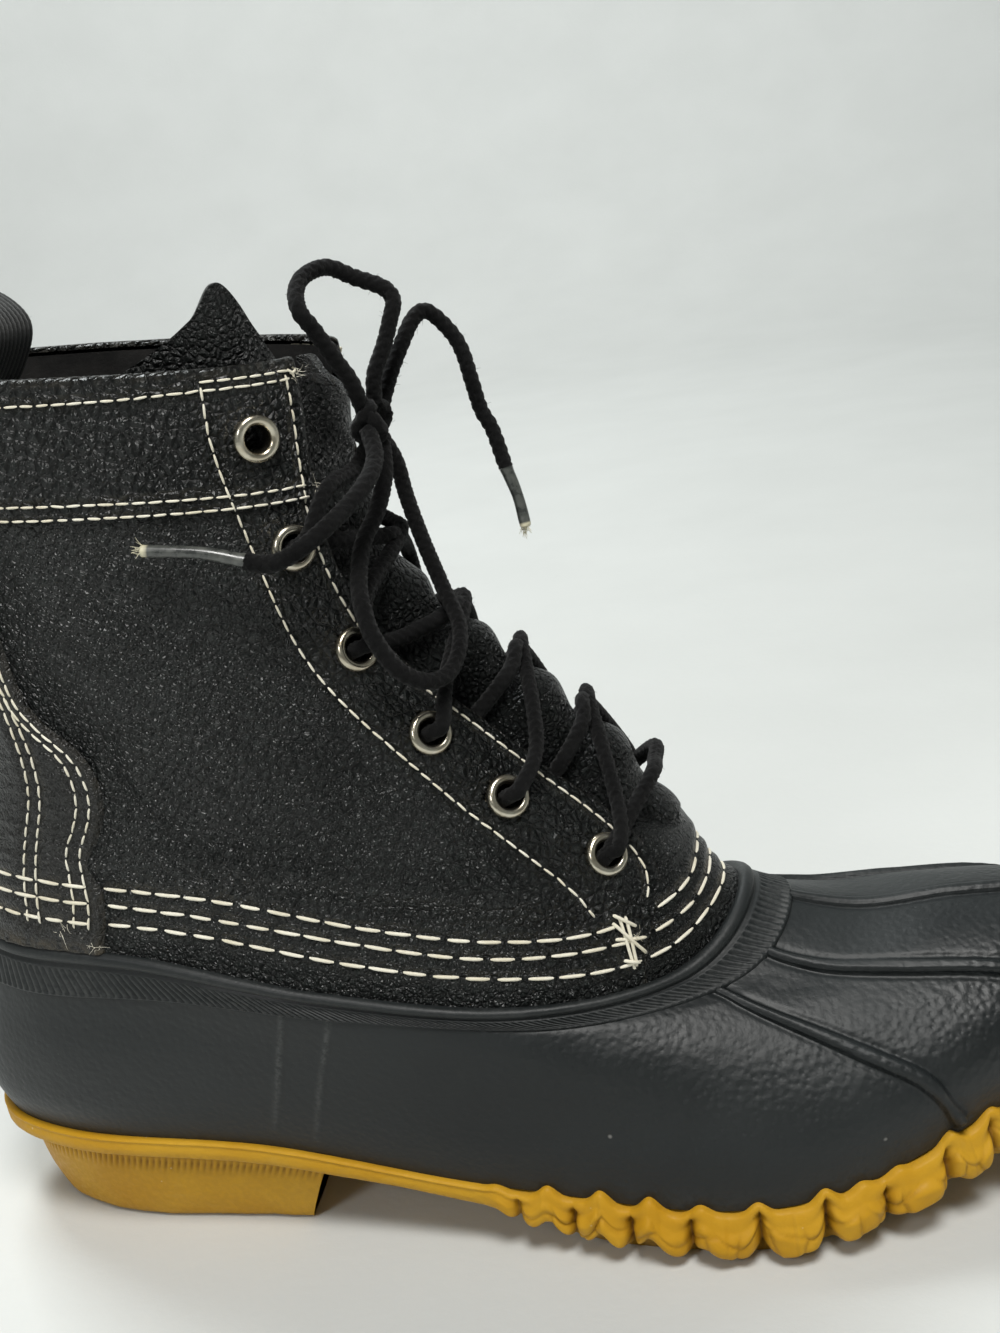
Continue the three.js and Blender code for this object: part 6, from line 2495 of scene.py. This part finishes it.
    def free(self, name: str, points: Sequence, node: str, finishes: Finishes, fuzz: int) -> tuple:
        """One free run of lace as its own piece.

        Args:
            name: the piece's name.
            points: what its middle passes.
            node: solid that it stands for.
            finishes: the boot's materials.
            fuzz: number for its fibres.

        Returns:
            The piece and its middle line.
        """
        made = Surface.joined(self.cord(points, fuzz)).to_object(name, finishes.braid, "lace", [node])
        return made, smooth_line(points, self.step)

    @staticmethod
    def aglet(name: str, points: Sequence, node: str, finishes: Finishes, seed: int) -> bpy.types.Object:
        """Sheathed tip with its frayed end.

        Args:
            name: the piece's name.
            points: what its middle passes.
            node: solid that it stands for.
            finishes: the boot's materials.
            seed: number for its frayed end.

        Returns:
            The piece.
        """
        line = smooth_line(points, 0.5)
        share = np.linspace(0, 1, len(line))
        radius = 1.62 + 0.2 * bell(share, 0.06) - 0.15 * share + 0.06 * np.sin(9 * share)
        sides = 18
        body = tube(line, radius, sides, flatten=0.86)
        body.masks["wear"] = np.repeat(ease((share - 0.93) / 0.04), sides)
        ahead = unit(line[-1] - line[-2])
        cap = tube(line[-1] + ahead * np.array([[-0.2], [0.3], [0.6]]), np.array([1.4, 1.1, 0.05]), sides)
        cap.masks["wear"] = np.ones(len(cap.points))
        random = np.random.default_rng(seed)
        tuft = []
        for _ in range(26):
            root = line[-1] + 0.9 * random.uniform(-1, 1, 3)
            hair = Fuzz(seed, 1.9, 0.13).hair(root, unit(ahead + 0.4 * random.standard_normal(3)), random)
            hair.masks["wear"] = np.ones(len(hair.points))
            tuft.append(hair)
        return Surface.joined([body, cap, *tuft]).to_object(name, finishes.sheath, "aglet", [node])

    def build(self, finishes: Finishes) -> list[bpy.types.Object]:
        """Args:
            finishes: the boot's materials.

        Returns:
            The pieces.
        """
        made = []
        aglets = {
            "lace_tail_inner": self.aglet("aglet_tip_inner", AGLET_INNER, "aglet_inner", finishes, 301),
            "lace_tail_outer": self.aglet("aglet_tip_outer", AGLET_OUTER, "aglet_outer", finishes, 302),
        }
        for index, (name, points, node, far) in enumerate((
            ("lace_bow_up", LOOP_UP, "lace_loop_up", "object"),
            ("lace_bow_down", LOOP_DOWN, "lace_loop_down", "object"),
            ("lace_tail_inner", END_INNER, "lace_end_inner", "fitting"),
            ("lace_tail_outer", END_OUTER, "lace_end_outer", "fitting"),
        )):
            piece, line = self.free(name, points, node, finishes, 100 + index)
            made.append(piece)
        ties = self.cord(self.tie(Side.OUTER), 110) + self.cord(self.tie(Side.INNER), 111)
        knot = Surface.joined(self.knot() + ties)
        made.append(knot.to_object("lace_knot_and_ties", finishes.braid, "lace", ["lace_knot"]))
        for index in range(2, len(EYELETS)):
            runs = (self.cord(self.strand(index, Side.OUTER), 120 + index)
                    + self.cord(self.strand(index, Side.INNER), 140 + index))
            if index == len(EYELETS) - 1:
                runs += self.cord(self.lowest_run(), 160)
            made.append(Surface.joined(runs).to_object(
                f"lace_cross_{index}", finishes.braid, "lace", [f"lace_crossing_{index}"]))
        return made


@dataclass
class Seams:
    """All the boot's stitches, tacks and frayed thread ends in one piece."""

    TACK = (
        ((0.793, 6.68), (0.781, 6.2)), ((0.800, 6.66), (0.785, 6.22)), ((0.783, 6.63), (0.803, 6.3)),
        ((0.778, 6.5), (0.812, 6.43)), ((0.787, 6.7), (0.807, 6.55)), ((0.776, 6.3), (0.79, 6.24)),
    )
    CORNER_TACK = (((0.842, 10.96), (0.853, 10.9)), ((0.846, 10.93), (0.858, 10.95)))
    FRAYS = (
        (-0.852, 10.93, 1.4, 12), (-0.852, 10.04, 1.2, 9), (-0.322, 6.12, 2.0, 12), (-0.29, 6.3, 2.2, 8),
        (-0.795, 6.5, 1.6, 6),
    )

    def build(self, shaft: Shaft, backstay: Backstay, tongue: Tongue,
              finishes: Finishes) -> list[bpy.types.Object]:
        """Makes the stitches.

        Args:
            shaft: carries most rows.
            backstay: carries the heel's rows.
            tongue: carries the rows across the vamp.
            finishes: the boot's materials.

        Returns:
            The piece.
        """
        on_shaft = self.pressed(shaft_relief, 0.3)
        stitching = Stitching()
        parts = []
        seed = 400
        for carrier, height in ((shaft, on_shaft), (backstay, self.pressed(backstay.height, 0.15)),
                                (tongue, self.pressed(tongue.height, 0.25))):
            for seam in carrier.seams():
                seed += 1
                parts += stitching.row(seam, height, seed)
        for side in Side:
            for threads, radius in ((self.TACK, 0.42), (self.CORNER_TACK, 0.3)):
                ends = [[(side.value * place, row) for place, row in thread] for thread in threads]
                parts += stitching.bar_tack(ends, on_shaft, radius)
        parts += self.frays()
        return [Surface.joined(parts).to_object("cream_stitching", finishes.thread, "leather")]

    @staticmethod
    def pressed(height: Relief, depth: float) -> Relief:
        """Relief that lies a depth below another."""
        return lambda at, row, points: height(at, row, points) - depth

    def frays(self) -> list[Surface]:
        """Loose ends of thread where rows stop.

        Returns:
            One surface for each fibre.
        """
        made = []
        random = np.random.default_rng(77)
        for at, row, rest, count in self.FRAYS:
            base, out = FORM.off(at, row, rest), FORM.outward(at, row)
            for _ in range(count):
                direction = unit(out + 0.9 * random.standard_normal(3))
                root = base + 0.7 * random.standard_normal(3)
                made.append(Fuzz(1, 2.6, 0.07).hair(root, direction, random))
        return made


@dataclass
class Studio:
    """Plain pale floor and soft light from above."""

    floor_size: float = 2.6
    sweep: float = 0.9
    height: float = 1.9

    def build(self, finishes: Finishes) -> None:
        """Makes the floor, the world's light and the lamps.

        Args:
            finishes: the boot's materials, with the floor's.
        """
        turn_in = np.linspace(0, np.pi / 2, 17)
        profile = [(0.0, 0.0), (self.floor_size - self.sweep, 0.0)]
        profile += [(self.floor_size - self.sweep + self.sweep * math.sin(a), self.sweep * (1 - math.cos(a)))
                    for a in turn_in[1:]]
        profile.append((self.floor_size, self.height))
        angle = np.linspace(0, 2 * np.pi, 64, endpoint=False)
        corners = [(0.0, 0.0, 0.0)]
        corners += [(r * math.cos(a), r * math.sin(a), z) for r, z in profile[1:] for a in angle]
        ring = len(angle)
        faces = [(0, 1 + k, 1 + (k + 1) % ring) for k in range(ring)]
        for row in range(len(profile) - 2):
            low, high = 1 + row * ring, 1 + (row + 1) * ring
            faces += [(low + k, high + k, high + (k + 1) % ring, low + (k + 1) % ring) for k in range(ring)]
        mesh = bpy.data.meshes.new("pale_floor")
        mesh.from_pydata(corners, [], faces)
        mesh.shade_smooth()
        mesh.materials.append(finishes.floor)
        floor = bpy.data.objects.new("pale_floor", mesh)
        bpy.context.scene.collection.objects.link(floor)
        world = bpy.data.worlds.new("studio")
        world.use_nodes = True
        background = world.node_tree.nodes["Background"]
        background.inputs["Color"].default_value = (0.86, 0.90, 0.90, 1)
        background.inputs["Strength"].default_value = 0.13
        bpy.context.scene.world = world
        bpy.context.scene.view_settings.view_transform = "Standard"
        self.lamp("window", (-0.45, 0.55, 1.35), 0.45, 15.0, (0.95, 1.0, 1.0))
        self.lamp("ceiling", (0.3, -0.5, 1.4), 0.5, 17.0, (1.0, 0.99, 0.96))
        self.lamp("front", (-0.45, -1.1, 0.9), 0.3, 4.0, (1.0, 1.0, 1.0))
        self.lamp("wall", (-0.2, 1.25, 1.8), 1.4, 30.0, (0.97, 1.0, 1.0), (-0.45, 2.6, 1.1))

    @staticmethod
    def lamp(name: str, place: tuple, size: float, power: float, colour: tuple,
             target: tuple = (0.08, 0.0, 0.08)) -> None:
        """Square lamp that looks at the boot or the wall behind it.

        Args:
            name: its name.
            place: where it hangs, metres.
            size: its side, metres.
            power: its power, watts.
            colour: its light.
            target: what it looks at, metres.
        """
        data = bpy.data.lights.new(name, "AREA")
        data.shape = "SQUARE"
        data.size = size
        data.energy = power
        data.color = colour
        made = bpy.data.objects.new(name, data)
        made.location = place
        aim = Vector(target) - Vector(place)
        made.rotation_mode = "QUATERNION"
        made.rotation_quaternion = aim.to_track_quat("-Z", "Y")
        bpy.context.scene.collection.objects.link(made)


def main() -> None:
    """Builds the boot in order, then its camera's surroundings."""
    logging.basicConfig(level=logging.INFO, format="%(message)s")
    finishes = Finishes()
    PhotoCamera().build()
    shaft, backstay, tongue = Shaft(), Backstay(), Tongue()
    Laces().build(finishes)
    for piece in (Outsole(), RubberFoot(), shaft, backstay, tongue, Insole(), PullLoop(), Eyelets()):
        piece.build(finishes)
    Seams().build(shaft, backstay, tongue, finishes)
    Studio().build(finishes)


if __name__ == "__main__":
    main()
